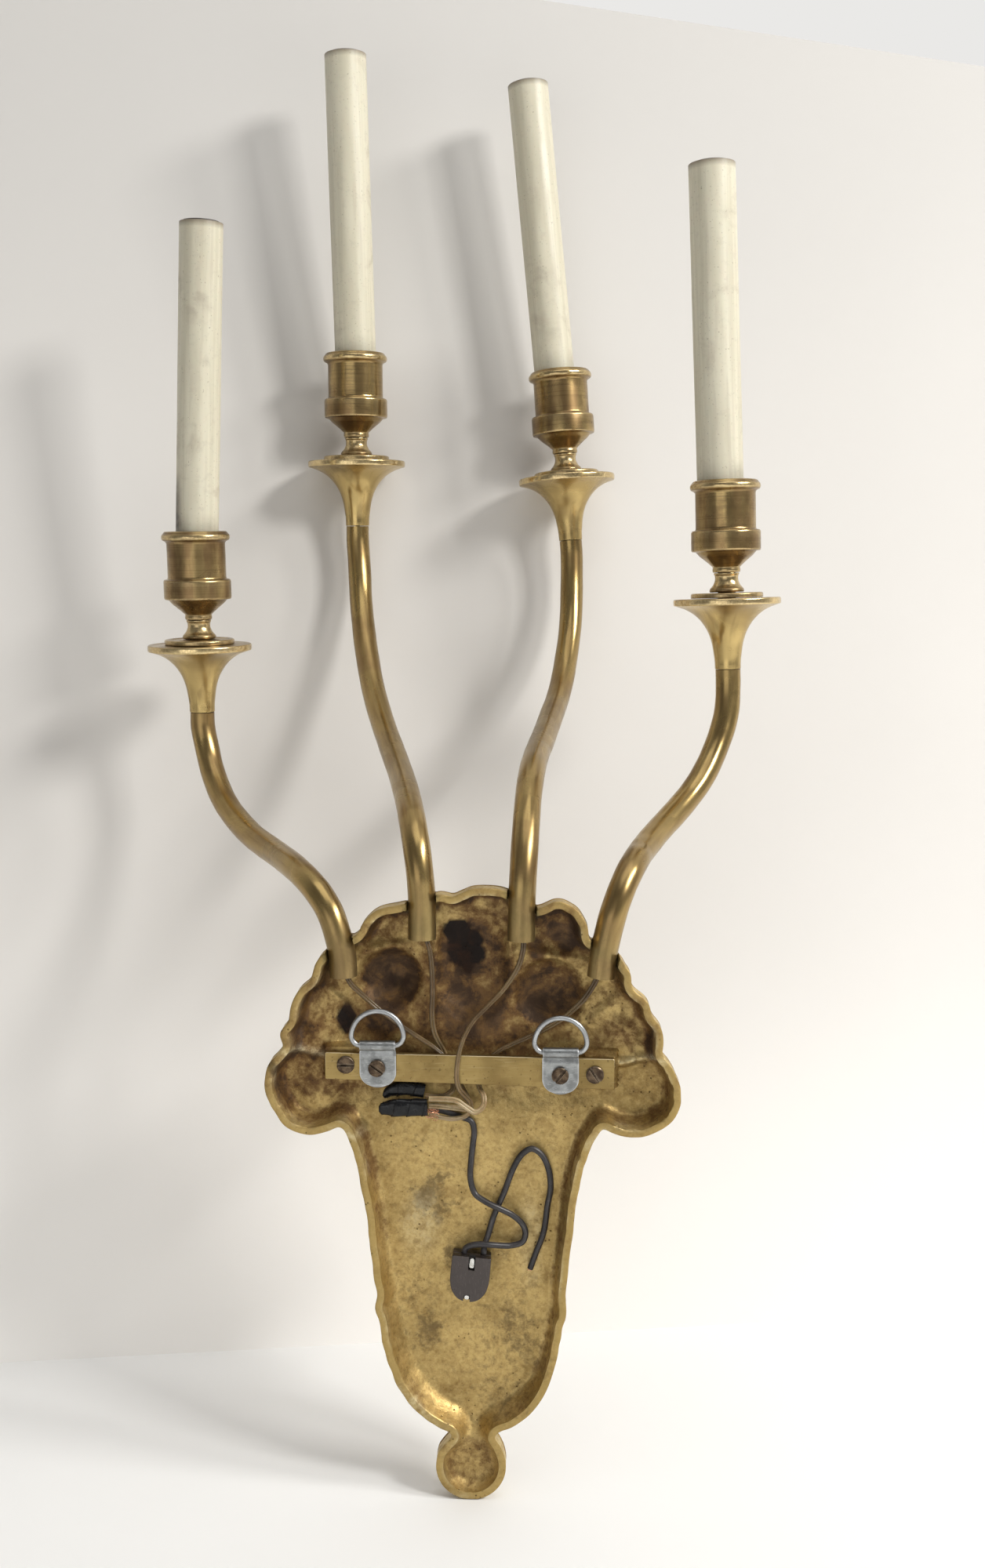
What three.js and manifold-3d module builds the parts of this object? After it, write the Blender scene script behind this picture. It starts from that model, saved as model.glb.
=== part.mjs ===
// Four-light cast and turned brass wall sconce. Millimetres, +Z up.
// The wall is the plane y = 0 and the front of the sconce faces -Y. The origin is the point on the wall
// midway between the tops of the two hanging rings. Arms are numbered 1 to 4 from +X to -X.
import * as THREE from 'three';
import { mergeVertices } from 'three/addons/utils/BufferGeometryUtils.js';
import Module from 'manifold-3d';

const wasm = await Module();
wasm.setup();

// ---------------------------------------------------------------- driving dimensions
const GAP = 0.3;            // clearance between touching pieces

// cast backplate
const EDGE_DEPTH = 11;      // depth of the outer edge behind the rounded front
const UPPER_DEPTH = 22.2;   // wall to front surface, shell-shaped upper half
const STEM_DEPTH = 18.2;    // wall to front surface, lower stem
const FINIAL_DEPTH = 12;
const SHELL_WALL = 3.5;     // casting thickness
const GRID = 13;            // facet size of the relief

// arm tubes and the turned parts
const TUBE_R = 7.15, TUBE_BORE_R = 5.7;
const TRUMPET_FOOT = -38;   // foot of the trumpet, measured from the middle of its disc
const DISC_R = 30.2, STEP_R = 20.3;
const BORE_R = 5.6;
const ROD_R = 5.0, ROD_BORE_R = 3.6;
const CUP_TOP = 67.4, CUP_FLOOR = 38.3;
const SLEEVE_WALL = 0.9, SLEEVE_IN_CUP = 28.2;
const HOLDER_R = 10.8, HOLDER_L = 55, HOLDER_PROUD = 0.8;

// hanging strap, its screws and the two ring hangers
const STRAP = [[75.9, -22.8], [-73.5, -25.4], [-73.6, -41.5], [76.0, -36.9]];
const STRAP_BACK = -5.6, STRAP_THICK = 3.6;
const STRAP_SCREWS = [[65.2, -29.1, 0], [-63.4, -33.5, 55]];
const HANGERS = [
  { x: 48.5, z: -18.5, screw: [49.0, -30.6], slot: 35 },
  { x: -45.7, z: -21.5, screw: [-45.5, -33.8], slot: -50 },
];
const HANGER_W = 18.8, SHEET = 1.0;
const ROLL_Y = -3.6, ROLL_RO = 2.75, ROLL_RI = 1.75;
const RING_WIRE_R = 1.35, RING_R = 13.45, RING_UP = 4.7;

// wires and connector
const LEAD_R = 1.5, CORD_R = 1.6, INNER_WIRE_R = 1.5;
const BLOCK = { x: 0.1, z: -130.95, w: 20.4, h: 24.4, tilt: -5.4, back: -2.6, split: -7.6, front: -13.4 };

// outline of the casting, seen along Y, as [x, z]
const OUTLINE = [
  [3.1, -262.9], [12.2, -259.3], [15.4, -256.9], [18.8, -247.4], [18.2, -238.2], [10.4, -227.1],
  [23.7, -219.5], [32.8, -210.8], [39.7, -200], [44.4, -187.1], [47.1, -176.3], [48.5, -164.5],
  [50.7, -157.8], [49.3, -151.4], [54.6, -106.7], [59, -81.8], [64.2, -65.3], [68.1, -60.4], [74.8, -63.3],
  [83.3, -65.2], [89, -64.1], [95.8, -61], [103.5, -50], [105.8, -44.4], [106.7, -37.9], [104.9, -28.8],
  [96.6, -18.7], [98.2, -14.1], [98.1, -10.7], [93.8, -5.4], [91.1, 6.5], [88.4, 10.9], [82.6, 15.9],
  [79.4, 25.4], [72.4, 33.5], [67.6, 36.7], [58.3, 40], [54.1, 47.3], [46.9, 53.2], [34, 56.4], [30, 54.6],
  [26.4, 54.7], [17.6, 61.2], [9.5, 59.8], [1.2, 63.6], [-6.5, 64.4], [-17.7, 62.9], [-30, 54.1],
  [-34.6, 54.2], [-41.2, 57.3], [-45.6, 57.5], [-48.6, 56.7], [-54.4, 52.8], [-58.8, 45.4], [-60.1, 37.5],
  [-69.9, 33.6], [-76.9, 27.3], [-81, 20.8], [-82.2, 12.8], [-90.2, 5.3], [-92.2, -1.5], [-97.3, -9.2],
  [-97.6, -21.7], [-103.6, -29.9], [-106.9, -37.6], [-107.5, -46.2], [-103.3, -56.1], [-93.6, -62.7],
  [-87.5, -64.9], [-81, -65], [-73.1, -63.1], [-67.6, -60.3], [-62.5, -67.8], [-57.6, -81], [-54.4, -97.6],
  [-48.9, -148.4], [-48.9, -163.3], [-47, -168.1], [-44.5, -184.8], [-40.3, -199.3], [-37, -206.3],
  [-29.8, -216.3], [-22.4, -222], [-11.6, -227.6], [-17.6, -240.8], [-17.6, -248.8], [-14.1, -255.6],
  [-8.8, -261.1], [-3.9, -262.7],
];

// edge of the hollow in the back
const DISH = [
  [0.5, -258.8], [4.5, -258.5], [10.3, -255.5], [12.6, -253.2], [14.7, -247.1], [14.4, -240.3],
  [7.2, -230.4], [7.4, -224.9], [21.6, -216.1], [29.4, -208.6], [35.8, -198.7], [40.6, -185.8],
  [46.5, -158.5], [45.5, -149.6], [50.6, -106.7], [55.4, -80], [60.7, -63.5], [63.7, -58.8], [67.6, -56.7],
  [83.1, -61.2], [93, -58], [99.7, -48.6], [102, -43.3], [102.6, -38.1], [101.1, -30.3], [93.1, -20.3],
  [93.9, -12.2], [90, -6.4], [87.5, 4.5], [85, 8.7], [79.7, 13.5], [75.5, 23.9], [69.2, 31], [56, 37],
  [50.4, 45.7], [45, 49.7], [34.5, 52], [29.3, 50.6], [25, 51], [16.6, 56.9], [9.1, 55.9], [-0.3, 59.8],
  [-6.4, 60.3], [-16, 59.2], [-24.4, 52.5], [-29.3, 50.3], [-35.9, 50.5], [-43.9, 53.6], [-46.7, 53.1],
  [-51.5, 50.1], [-55.1, 43.9], [-57.1, 35], [-67.6, 30.3], [-71.9, 27], [-77.2, 19], [-78.7, 11.1],
  [-86.8, 3], [-88.6, -3.1], [-93.3, -10], [-93.7, -22.3], [-100, -31.8], [-102.6, -37.8], [-103.3, -45.5],
  [-100.2, -53.5], [-92.1, -59.1], [-87.2, -60.9], [-81.1, -61], [-66.7, -56.7], [-63.5, -58.9],
  [-58.9, -66.3], [-53.9, -79.9], [-49.8, -101.4], [-44.9, -148.5], [-45.2, -159.6], [-37.5, -194.7],
  [-32.9, -205.4], [-27.3, -213.1], [-8.7, -225.4], [-8.3, -230.6], [-13.4, -240.9], [-13.5, -248.2],
  [-11.4, -252.4], [-7.3, -257.1],
];

// each arm: middle of the trumpet's disc and the axis of the turned parts, the candle sleeve's own axis
// where it passes the cup's rim, and the centre line of the tube from its lower mouth upwards
const ARMS = [
  {
    disc: [165, -145, 181.4], axis: [0.0103, 0.0454, 0.9989],
    sleeveRim: [164.5, -141.9, 249.4], sleeveAxis: [-0.0427, 0.0453, 0.9981], sleeveAboveRim: 171.8, sleeveDia: 24.6,
    path: [
      [66.1, -8, 16.9], [66.7, -8, 28.5], [69.2, -8, 39.7], [73.2, -10.2, 50.3], [79.3, -15.1, 58.8],
      [86, -22.5, 64.5], [91.9, -32, 67.5], [97.3, -42.1, 69.3], [102.4, -52.4, 70.4], [107.6, -62.7, 71.4],
      [113.2, -72.7, 72.7], [119.4, -82.4, 74.5], [125.8, -91.7, 76.8], [132, -101, 80], [138.2, -109.9, 84],
      [144.2, -118.5, 88.8], [149.7, -126.7, 94.8], [154.5, -134.3, 102.2], [158.6, -140.6, 110.9],
      [161.7, -145.1, 121.1],
    ],
  },
  {
    disc: [79.9, -222, 293.2], axis: [0.0023, 0.0262, 0.9997],
    sleeveRim: [79.8, -220.2, 360.5], sleeveAxis: [0.0236, 0.0262, 0.9994], sleeveAboveRim: 176.2, sleeveDia: 25.2,
    path: [
      [25.6, -8, 36.8], [25.5, -8, 48.4], [25.7, -8, 60], [26.6, -8.1, 71.5], [28.2, -11.5, 82.4],
      [30.2, -18.7, 91.2], [32.1, -28.6, 96.9], [33.9, -39.3, 100.7], [35.7, -50.4, 103.8],
      [37.6, -61.4, 106.6], [39.6, -72.5, 109.3], [41.7, -83.5, 112.2], [44, -94.4, 115.3],
      [46.5, -105.2, 118.7], [49.1, -115.9, 122.4], [51.8, -126.4, 126.4], [54.7, -136.6, 131.1],
      [57.6, -146.5, 136.3], [60.5, -156, 142.3], [63.4, -165, 149], [66.1, -173.6, 156.3],
      [68.5, -181.6, 164.3], [70.6, -189.3, 172.7], [72.7, -196.6, 181.5], [74.4, -203.3, 190.7],
      [76, -209.4, 200.4], [77.3, -214.7, 210.7], [78.1, -218.9, 221.4], [78.9, -221.8, 232.6],
    ],
  },
  {
    disc: [-51.5, -236, 284.3], axis: [0.0714, -0.0261, 0.9971],
    sleeveRim: [-43.3, -237.8, 352.9], sleeveAxis: [0.0979, -0.0261, 0.9949], sleeveAboveRim: 174.1, sleeveDia: 25,
    path: [
      [-25.3, -8, 36.3], [-25.4, -8, 47.6], [-25.7, -8, 58.9], [-26.2, -9.2, 70.2], [-26.8, -13.1, 80.8],
      [-27.4, -19, 90.4], [-28, -26.5, 98.8], [-28.6, -35.1, 106.1], [-29.4, -44.7, 112.1],
      [-30.3, -55, 116.8], [-31.2, -65.7, 120.2], [-32.2, -76.7, 122.7], [-33.3, -87.7, 125],
      [-34.6, -98.8, 127.1], [-35.9, -109.8, 129.3], [-37.2, -120.8, 131.6], [-38.5, -131.8, 134.1],
      [-39.9, -142.7, 136.8], [-41.3, -153.6, 139.7], [-42.8, -164.3, 142.8], [-44.5, -175, 146.3],
      [-46.2, -185.2, 150.8], [-48, -194.8, 156.6], [-49.7, -203.3, 163.9], [-51.2, -210.7, 172.3],
      [-52.7, -217.2, 181.4], [-53.9, -222.7, 191.3], [-54.6, -227.1, 201.6], [-54.9, -230.6, 212.4],
      [-55, -233.1, 223.4],
    ],
  },
  {
    disc: [-140.2, -119, 208.3], axis: [0.0309, 0.0000, 0.9995],
    sleeveRim: [-135.4, -119, 276.5], sleeveAxis: [0.0428, 0.0000, 0.9991], sleeveAboveRim: 170.8, sleeveDia: 26,
    path: [
      [-66.1, -8, 17.3], [-67.4, -8, 28.7], [-69.7, -8, 39.9], [-72.5, -8.1, 51.1], [-76.3, -11.2, 61.4],
      [-80.6, -17.7, 69.7], [-84.4, -27.5, 74.2], [-87.5, -38.3, 76.5], [-91.3, -48.8, 79.1],
      [-95.8, -58.8, 82.5], [-100.9, -68.3, 86.3], [-106.7, -77.3, 90.7], [-112.7, -85.6, 95.7],
      [-118.8, -93.3, 101.6], [-124.7, -100.2, 108.6], [-130, -106.2, 116.9], [-134.5, -111.1, 126.2],
      [-138.4, -114.8, 136.3], [-141, -117.4, 147.2],
    ],
  },
];

// centre lines of the flexible leads and cords
const CORDS = {
  lead1: [
    [65.4, -9, 18.7], [62.8, -10.5, 12.6], [57.8, -12.5, 6.8], [50.7, -14, -0.2], [40.9, -14, -8.1],
    [28.7, -13, -16], [18.9, -12.2, -22.4], [13.2, -12, -28.2], [8.7, -12, -35.7], [5, -12, -43.2],
    [1.8, -11.6, -48.9], [0.5, -10.2, -53.1], [3.3, -8.6, -56.8], [9.8, -8.2, -58.4], [16.3, -8.6, -57.7],
    [22.5, -8.6, -56.1],
  ],
  lead2: [
    [23.8, -8.8, 39.5], [23.3, -9.2, 36.2], [21.8, -11, 30.1], [20.8, -13.5, 18], [20.7, -14.5, 5.3],
    [21, -15.2, -7.4], [19.5, -16.2, -16], [15.4, -16.4, -24.4], [12.2, -16.2, -32.7], [10.4, -14.6, -39.8],
    [10.3, -12, -44.1], [13.9, -10.2, -46.5], [18.8, -10, -46.9], [24.3, -10, -46.5],
  ],
  lead3: [
    [-26.6, -9, 38.1], [-26.2, -11, 30.3], [-23.4, -12, 20.6], [-16.2, -11.5, 9.6], [-7.3, -9.5, 0.5],
    [-0.5, -7, -6.3], [3.8, -4.5, -13.6], [6.2, -3.6, -20.8], [7.4, -3.5, -28.2], [7.7, -3.4, -35.6],
    [6.5, -3.9, -41.1], [3.2, -6.6, -46.1], [0.8, -7.2, -49.6], [2.4, -6.6, -52.4], [8.8, -6.2, -51.9],
    [16.1, -5.4, -50.9], [22.3, -5.4, -50.7],
  ],
  lead4: [
    [-65.3, -9, 19.1], [-62.6, -11.5, 12.3], [-56.7, -13.5, 3.1], [-46.2, -14, -6.6], [-33.2, -13.5, -14.1],
    [-21.5, -12.6, -19.3], [-12.9, -12, -23.8], [-7.2, -12, -30.5], [-3.4, -12.2, -37.3],
    [-3.6, -11.3, -42.1], [-6.2, -6.5, -46], [-5.8, -4.2, -50.3], [-1.8, -2.9, -53], [3, -2.2, -50.1],
    [7.8, -2.3, -46.9], [15.2, -3, -46.3], [21.3, -3.6, -46.5], [22.1, -3.7, -46.5],
  ],
  cord_a: [
    [22.7, -12.4, -54.8], [17.3, -12.2, -55.1], [11.2, -12, -56.7], [5.1, -12.4, -58.9], [0.6, -12.4, -61],
    [-0.9, -12, -65.9], [-0.2, -11.8, -73.4], [0.6, -11.8, -81], [1, -11.5, -92], [-1.5, -10.5, -99.6],
    [-6.1, -9, -102.6], [-9.4, -7.9, -104.1], [-14.3, -7.9, -106.4], [-20.4, -9, -109.9],
    [-26.1, -11, -115.8], [-27.8, -11.8, -121.2], [-26.2, -11.8, -125.9], [-20.4, -11, -127.6],
    [-13.9, -8.6, -126.7], [-8.2, -6.6, -125.5], [-2, -6.8, -125.6], [2.1, -7.5, -127], [3.9, -7.8, -128.7],
    [4.2, -7.9, -130.3],
  ],
  cord_b: [
    [-6, -8.6, -131.2], [-6.1, -8.8, -128.8], [-6.7, -10.4, -126.2], [-7.9, -11.8, -123.1],
    [-10.9, -11.8, -112.8], [-13.8, -11.8, -105.5], [-16.7, -11.8, -98.7], [-21.6, -11.6, -85.4],
    [-26.1, -11.2, -78], [-31, -11, -75], [-35.9, -11.2, -78], [-39.6, -11.5, -85.6], [-40.9, -11.8, -95.9],
    [-39.3, -11.8, -106.1], [-37.3, -11.8, -120.7], [-33.6, -11.8, -131], [-30.3, -11.8, -140.5],
  ],
};

// ---------------------------------------------------------------- materials
const finish = (color, roughness, metalness) => () => new THREE.MeshStandardMaterial({ color, roughness, metalness });
const castBrass = finish(0x9b8045, 0.48, 1);
const tubeBrass = finish(0xa08248, 0.34, 1);
const turnedBrass = finish(0x8f7440, 0.32, 1);
const barBrass = finish(0xa8904f, 0.42, 1);
const ivory = finish(0xe1dcc6, 0.55, 0);
const zinc = finish(0xa9adac, 0.35, 1);
const steelDark = finish(0x4a423a, 0.5, 1);
const nickel = finish(0xb9b8b2, 0.3, 1);
const porcelain = finish(0x2f2c2a, 0.5, 0);
const rubber = finish(0x3a383a, 0.45, 0);
const clearFlex = finish(0x8b7a5c, 0.35, 0);
const tape = finish(0x1d1f20, 0.25, 0);
const bakelite = finish(0x443c39, 0.4, 0);

// ---------------------------------------------------------------- helpers
const V = (p) => new THREE.Vector3(p[0], p[1], p[2]);
const root = new THREE.Group();

function volume(g) {
  const p = g.attributes.position;
  const ix = g.index;
  const n = ix ? ix.count : p.count;
  const a = new THREE.Vector3(), b = new THREE.Vector3(), c = new THREE.Vector3();
  let v = 0;
  for (let i = 0; i < n; i += 3) {
    const [i0, i1, i2] = ix ? [ix.getX(i), ix.getX(i + 1), ix.getX(i + 2)] : [i, i + 1, i + 2];
    a.fromBufferAttribute(p, i0); b.fromBufferAttribute(p, i1); c.fromBufferAttribute(p, i2);
    v += a.dot(b.cross(c));
  }
  return v / 6;
}

// a closed mesh with shared vertices and its faces pointing out
function solidify(g) {
  const s = new THREE.BufferGeometry();
  s.setAttribute('position', g.attributes.position.clone());
  if (g.index) s.setIndex(g.index.clone());
  const m = mergeVertices(s, 1e-4);
  const src = m.index.array, keep = [];
  for (let i = 0; i < src.length; i += 3) {
    const [a, b, c] = [src[i], src[i + 1], src[i + 2]];
    if (a !== b && b !== c && c !== a) keep.push(a, b, c);
  }
  m.setIndex(keep);
  if (volume(m) < 0) {
    for (let i = 0; i < keep.length; i += 3) [keep[i + 1], keep[i + 2]] = [keep[i + 2], keep[i + 1]];
    m.setIndex(keep);
  }
  return m;
}

function toSolid(g) {
  const m = solidify(g);
  return new wasm.Manifold(new wasm.Mesh({
    numProp: 3,
    vertProperties: new Float32Array(m.attributes.position.array),
    triVerts: new Uint32Array(m.index.array),
  }));
}

function fromSolid(s) {
  const m = s.getMesh();
  const g = new THREE.BufferGeometry();
  g.setAttribute('position', new THREE.BufferAttribute(new Float32Array(m.vertProperties), 3));
  g.setIndex(new THREE.BufferAttribute(new Uint32Array(m.triVerts), 1));
  return g;
}

function add(parent, name, geometry, material) {
  const g = solidify(geometry);
  g.computeVertexNormals();
  const mesh = new THREE.Mesh(g, material());
  mesh.name = name;
  parent.add(mesh);
  return mesh;
}

// turned part: [radius, height] points of a closed section, height along Z
function turned(profile, segments) {
  const pts = profile.map(([r, h]) => new THREE.Vector2(r, h));
  const first = pts[0], last = pts[pts.length - 1];
  if (first.x > 0 || last.x > 0) pts.push(first.clone());
  return new THREE.LatheGeometry(pts, segments).rotateX(Math.PI / 2);
}

const ngon = (r, n) => Array.from({ length: n }, (_, i) => {
  const t = (i / n) * Math.PI * 2;
  return new THREE.Vector2(r * Math.cos(t), r * Math.sin(t));
});

// round tube or rod along a smooth curve, open ends closed flat
function swept(points, r, sides, steps, bore = 0, boreSides = 8) {
  const curve = new THREE.CatmullRomCurve3(points, false, 'centripetal');
  curve.arcLengthDivisions = 600;
  const section = new THREE.Shape(ngon(r, sides));
  if (bore > 0) section.holes.push(new THREE.Path(ngon(bore, boreSides)));
  return new THREE.ExtrudeGeometry(section, { steps, extrudePath: curve });
}

// flat shape in the X-Z plane, from y0 (nearer the wall) to y1
function slab(points, y0, y1, holes = []) {
  const shape = new THREE.Shape(points.map(([x, z]) => new THREE.Vector2(x, z)));
  for (const h of holes) shape.holes.push(new THREE.Path(h.map(([x, z]) => new THREE.Vector2(x, z))));
  const g = new THREE.ExtrudeGeometry(shape, { depth: Math.abs(y1 - y0), bevelEnabled: false });
  // extrusion runs along +Z of the shape, which becomes -Y
  g.rotateX(Math.PI / 2);
  g.translate(0, Math.max(y0, y1), 0);
  return g;
}

const circle = (cx, cz, r, n) => ngon(r, n).map((p) => [cx + p.x, cz + p.y]);

const clamp01 = (x) => Math.min(1, Math.max(0, x));
const ramp = (a, b, x) => { const t = clamp01((x - a) / (b - a)); return t * t * (3 - 2 * t); };

function edgeDistance(x, z) {
  let best = 1e9;
  for (let i = 0; i < OUTLINE.length; i++) {
    const [ax, az] = OUTLINE[i], [bx, bz] = OUTLINE[(i + 1) % OUTLINE.length];
    const dx = bx - ax, dz = bz - az;
    const t = clamp01(((x - ax) * dx + (z - az) * dz) / (dx * dx + dz * dz));
    best = Math.min(best, Math.hypot(x - ax - t * dx, z - az - t * dz));
  }
  let inside = false;
  for (let i = 0, j = OUTLINE.length - 1; i < OUTLINE.length; j = i++) {
    const [xi, zi] = OUTLINE[i], [xj, zj] = OUTLINE[j];
    if ((zi > z) !== (zj > z) && x < ((xj - xi) * (z - zi)) / (zj - zi) + xi) inside = !inside;
  }
  return inside ? best : -best;
}

const boss = (x, z, cx, cz, rx, rz, h) => {
  const q = ((x - cx) / rx) ** 2 + ((z - cz) / rz) ** 2;
  return q < 1 ? h * (1 - q) ** 0.8 : 0;
};

// depth of the front surface below the wall plane
function frontDepth(x, z) {
  const d = Math.max(0, edgeDistance(x, z));
  let full = STEM_DEPTH + (UPPER_DEPTH - STEM_DEPTH) * ramp(-62, -38, z) * (1 - ramp(60, 82, Math.abs(x)));
  full += (FINIAL_DEPTH - STEM_DEPTH) * (1 - ramp(-236, -220, z));
  full += boss(x, z, 43.2, 13.5, 18, 17, 6) + boss(x, z, -39.7, 5.6, 19, 19, 6) + boss(x, z, -0.1, 20, 21, 32, 5);
  full += boss(x, z, 86, -46, 19, 20, 3) + boss(x, z, -86, -46, 19, 20, 3) + boss(x, z, 0.6, -247, 14, 14, 2.5);
  const t = clamp01(d / 12);
  return EDGE_DEPTH + (full - EDGE_DEPTH) * Math.sqrt(1 - (1 - t) ** 2);
}

// block whose front face follows -depth(x, z)
function reliefBlock(depth, back) {
  const x0 = -115, x1 = 115, z0 = -275, z1 = 75;
  const nx = Math.round((x1 - x0) / GRID), nz = Math.round((z1 - z0) / GRID);
  const pos = [], idx = [];
  const id = (i, k, s) => s * (nx + 1) * (nz + 1) + k * (nx + 1) + i;
  for (let s = 0; s < 2; s++) {
    for (let k = 0; k <= nz; k++) {
      for (let i = 0; i <= nx; i++) {
        const x = x0 + ((x1 - x0) * i) / nx, z = z0 + ((z1 - z0) * k) / nz;
        pos.push(x, s ? back : -depth(x, z), z);
      }
    }
  }
  for (let k = 0; k < nz; k++) {
    for (let i = 0; i < nx; i++) {
      const flip = (i + k) % 2;
      const [a, b, c, d] = [id(i, k, 0), id(i + 1, k, 0), id(i + 1, k + 1, 0), id(i, k + 1, 0)];
      const [e, f, g, h] = [id(i, k, 1), id(i + 1, k, 1), id(i + 1, k + 1, 1), id(i, k + 1, 1)];
      if (flip) { idx.push(a, b, d, b, c, d); } else { idx.push(a, b, c, a, c, d); }
      idx.push(e, g, f, e, h, g);
    }
  }
  for (let i = 0; i < nx; i++) {
    idx.push(id(i, 0, 0), id(i, 0, 1), id(i + 1, 0, 1), id(i, 0, 0), id(i + 1, 0, 1), id(i + 1, 0, 0));
    idx.push(id(i, nz, 0), id(i + 1, nz, 1), id(i, nz, 1), id(i, nz, 0), id(i + 1, nz, 0), id(i + 1, nz, 1));
  }
  for (let k = 0; k < nz; k++) {
    idx.push(id(0, k, 0), id(0, k + 1, 1), id(0, k, 1), id(0, k, 0), id(0, k + 1, 0), id(0, k + 1, 1));
    idx.push(id(nx, k, 0), id(nx, k, 1), id(nx, k + 1, 1), id(nx, k, 0), id(nx, k + 1, 1), id(nx, k + 1, 0));
  }
  const g = new THREE.BufferGeometry();
  g.setAttribute('position', new THREE.Float32BufferAttribute(pos, 3));
  g.setIndex(idx);
  return g;
}

// ---------------------------------------------------------------- backplate
const armCurvePoints = ARMS.map((a) => {
  const pts = a.path.map(V);
  const d = V(a.disc), ax = V(a.axis).normalize();
  pts.push(d.clone().addScaledVector(ax, TRUMPET_FOOT - 9));
  pts.push(d.clone().addScaledVector(ax, TRUMPET_FOOT - GAP));
  return pts;
});

{
  let plate = toSolid(slab(OUTLINE, 0, -40)).intersect(toSolid(reliefBlock(frontDepth, 10)));
  const hollow = toSolid(slab(DISH, 5, -40)).intersect(
    toSolid(reliefBlock((x, z) => frontDepth(x, z) - SHELL_WALL, 8)));
  plate = plate.subtract(hollow);
  // lands that carry the two ends of the strap
  for (const [x0, x1, z0, z1, y1] of [[60, 76.5, -38.5, -20.5, -16.3], [-74.5, -57.5, -42.5, -24, -16.3]]) {
    const land = slab([[x0, z0], [x1, z0], [x1, z1], [x0, z1]], STRAP_BACK - STRAP_THICK - GAP, y1);
    plate = plate.add(toSolid(land));
  }
  for (const [x, z] of STRAP_SCREWS) plate = plate.subtract(toSolid(slab(circle(x, z, 2.6, 8), -8, -15.6)));
  // saddles, open towards the wall, where the arm tubes cross the edge
  for (const pts of armCurvePoints) {
    const low = pts.slice(0, 9);
    const back = low[0].clone().sub(low[1]).normalize();
    low.unshift(low[0].clone().addScaledVector(back, 0.4));
    const saddle = toSolid(swept(low, TUBE_R + 0.6, 10, 9));
    for (const y of [0, 3, 6, 9]) plate = plate.subtract(saddle.translate([0, y, 0]));
  }
  const pieces = plate.decompose().sort((p, q) => q.volume() - p.volume());
  add(root, 'backplate', fromSolid(pieces[0]), castBrass);
}

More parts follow.
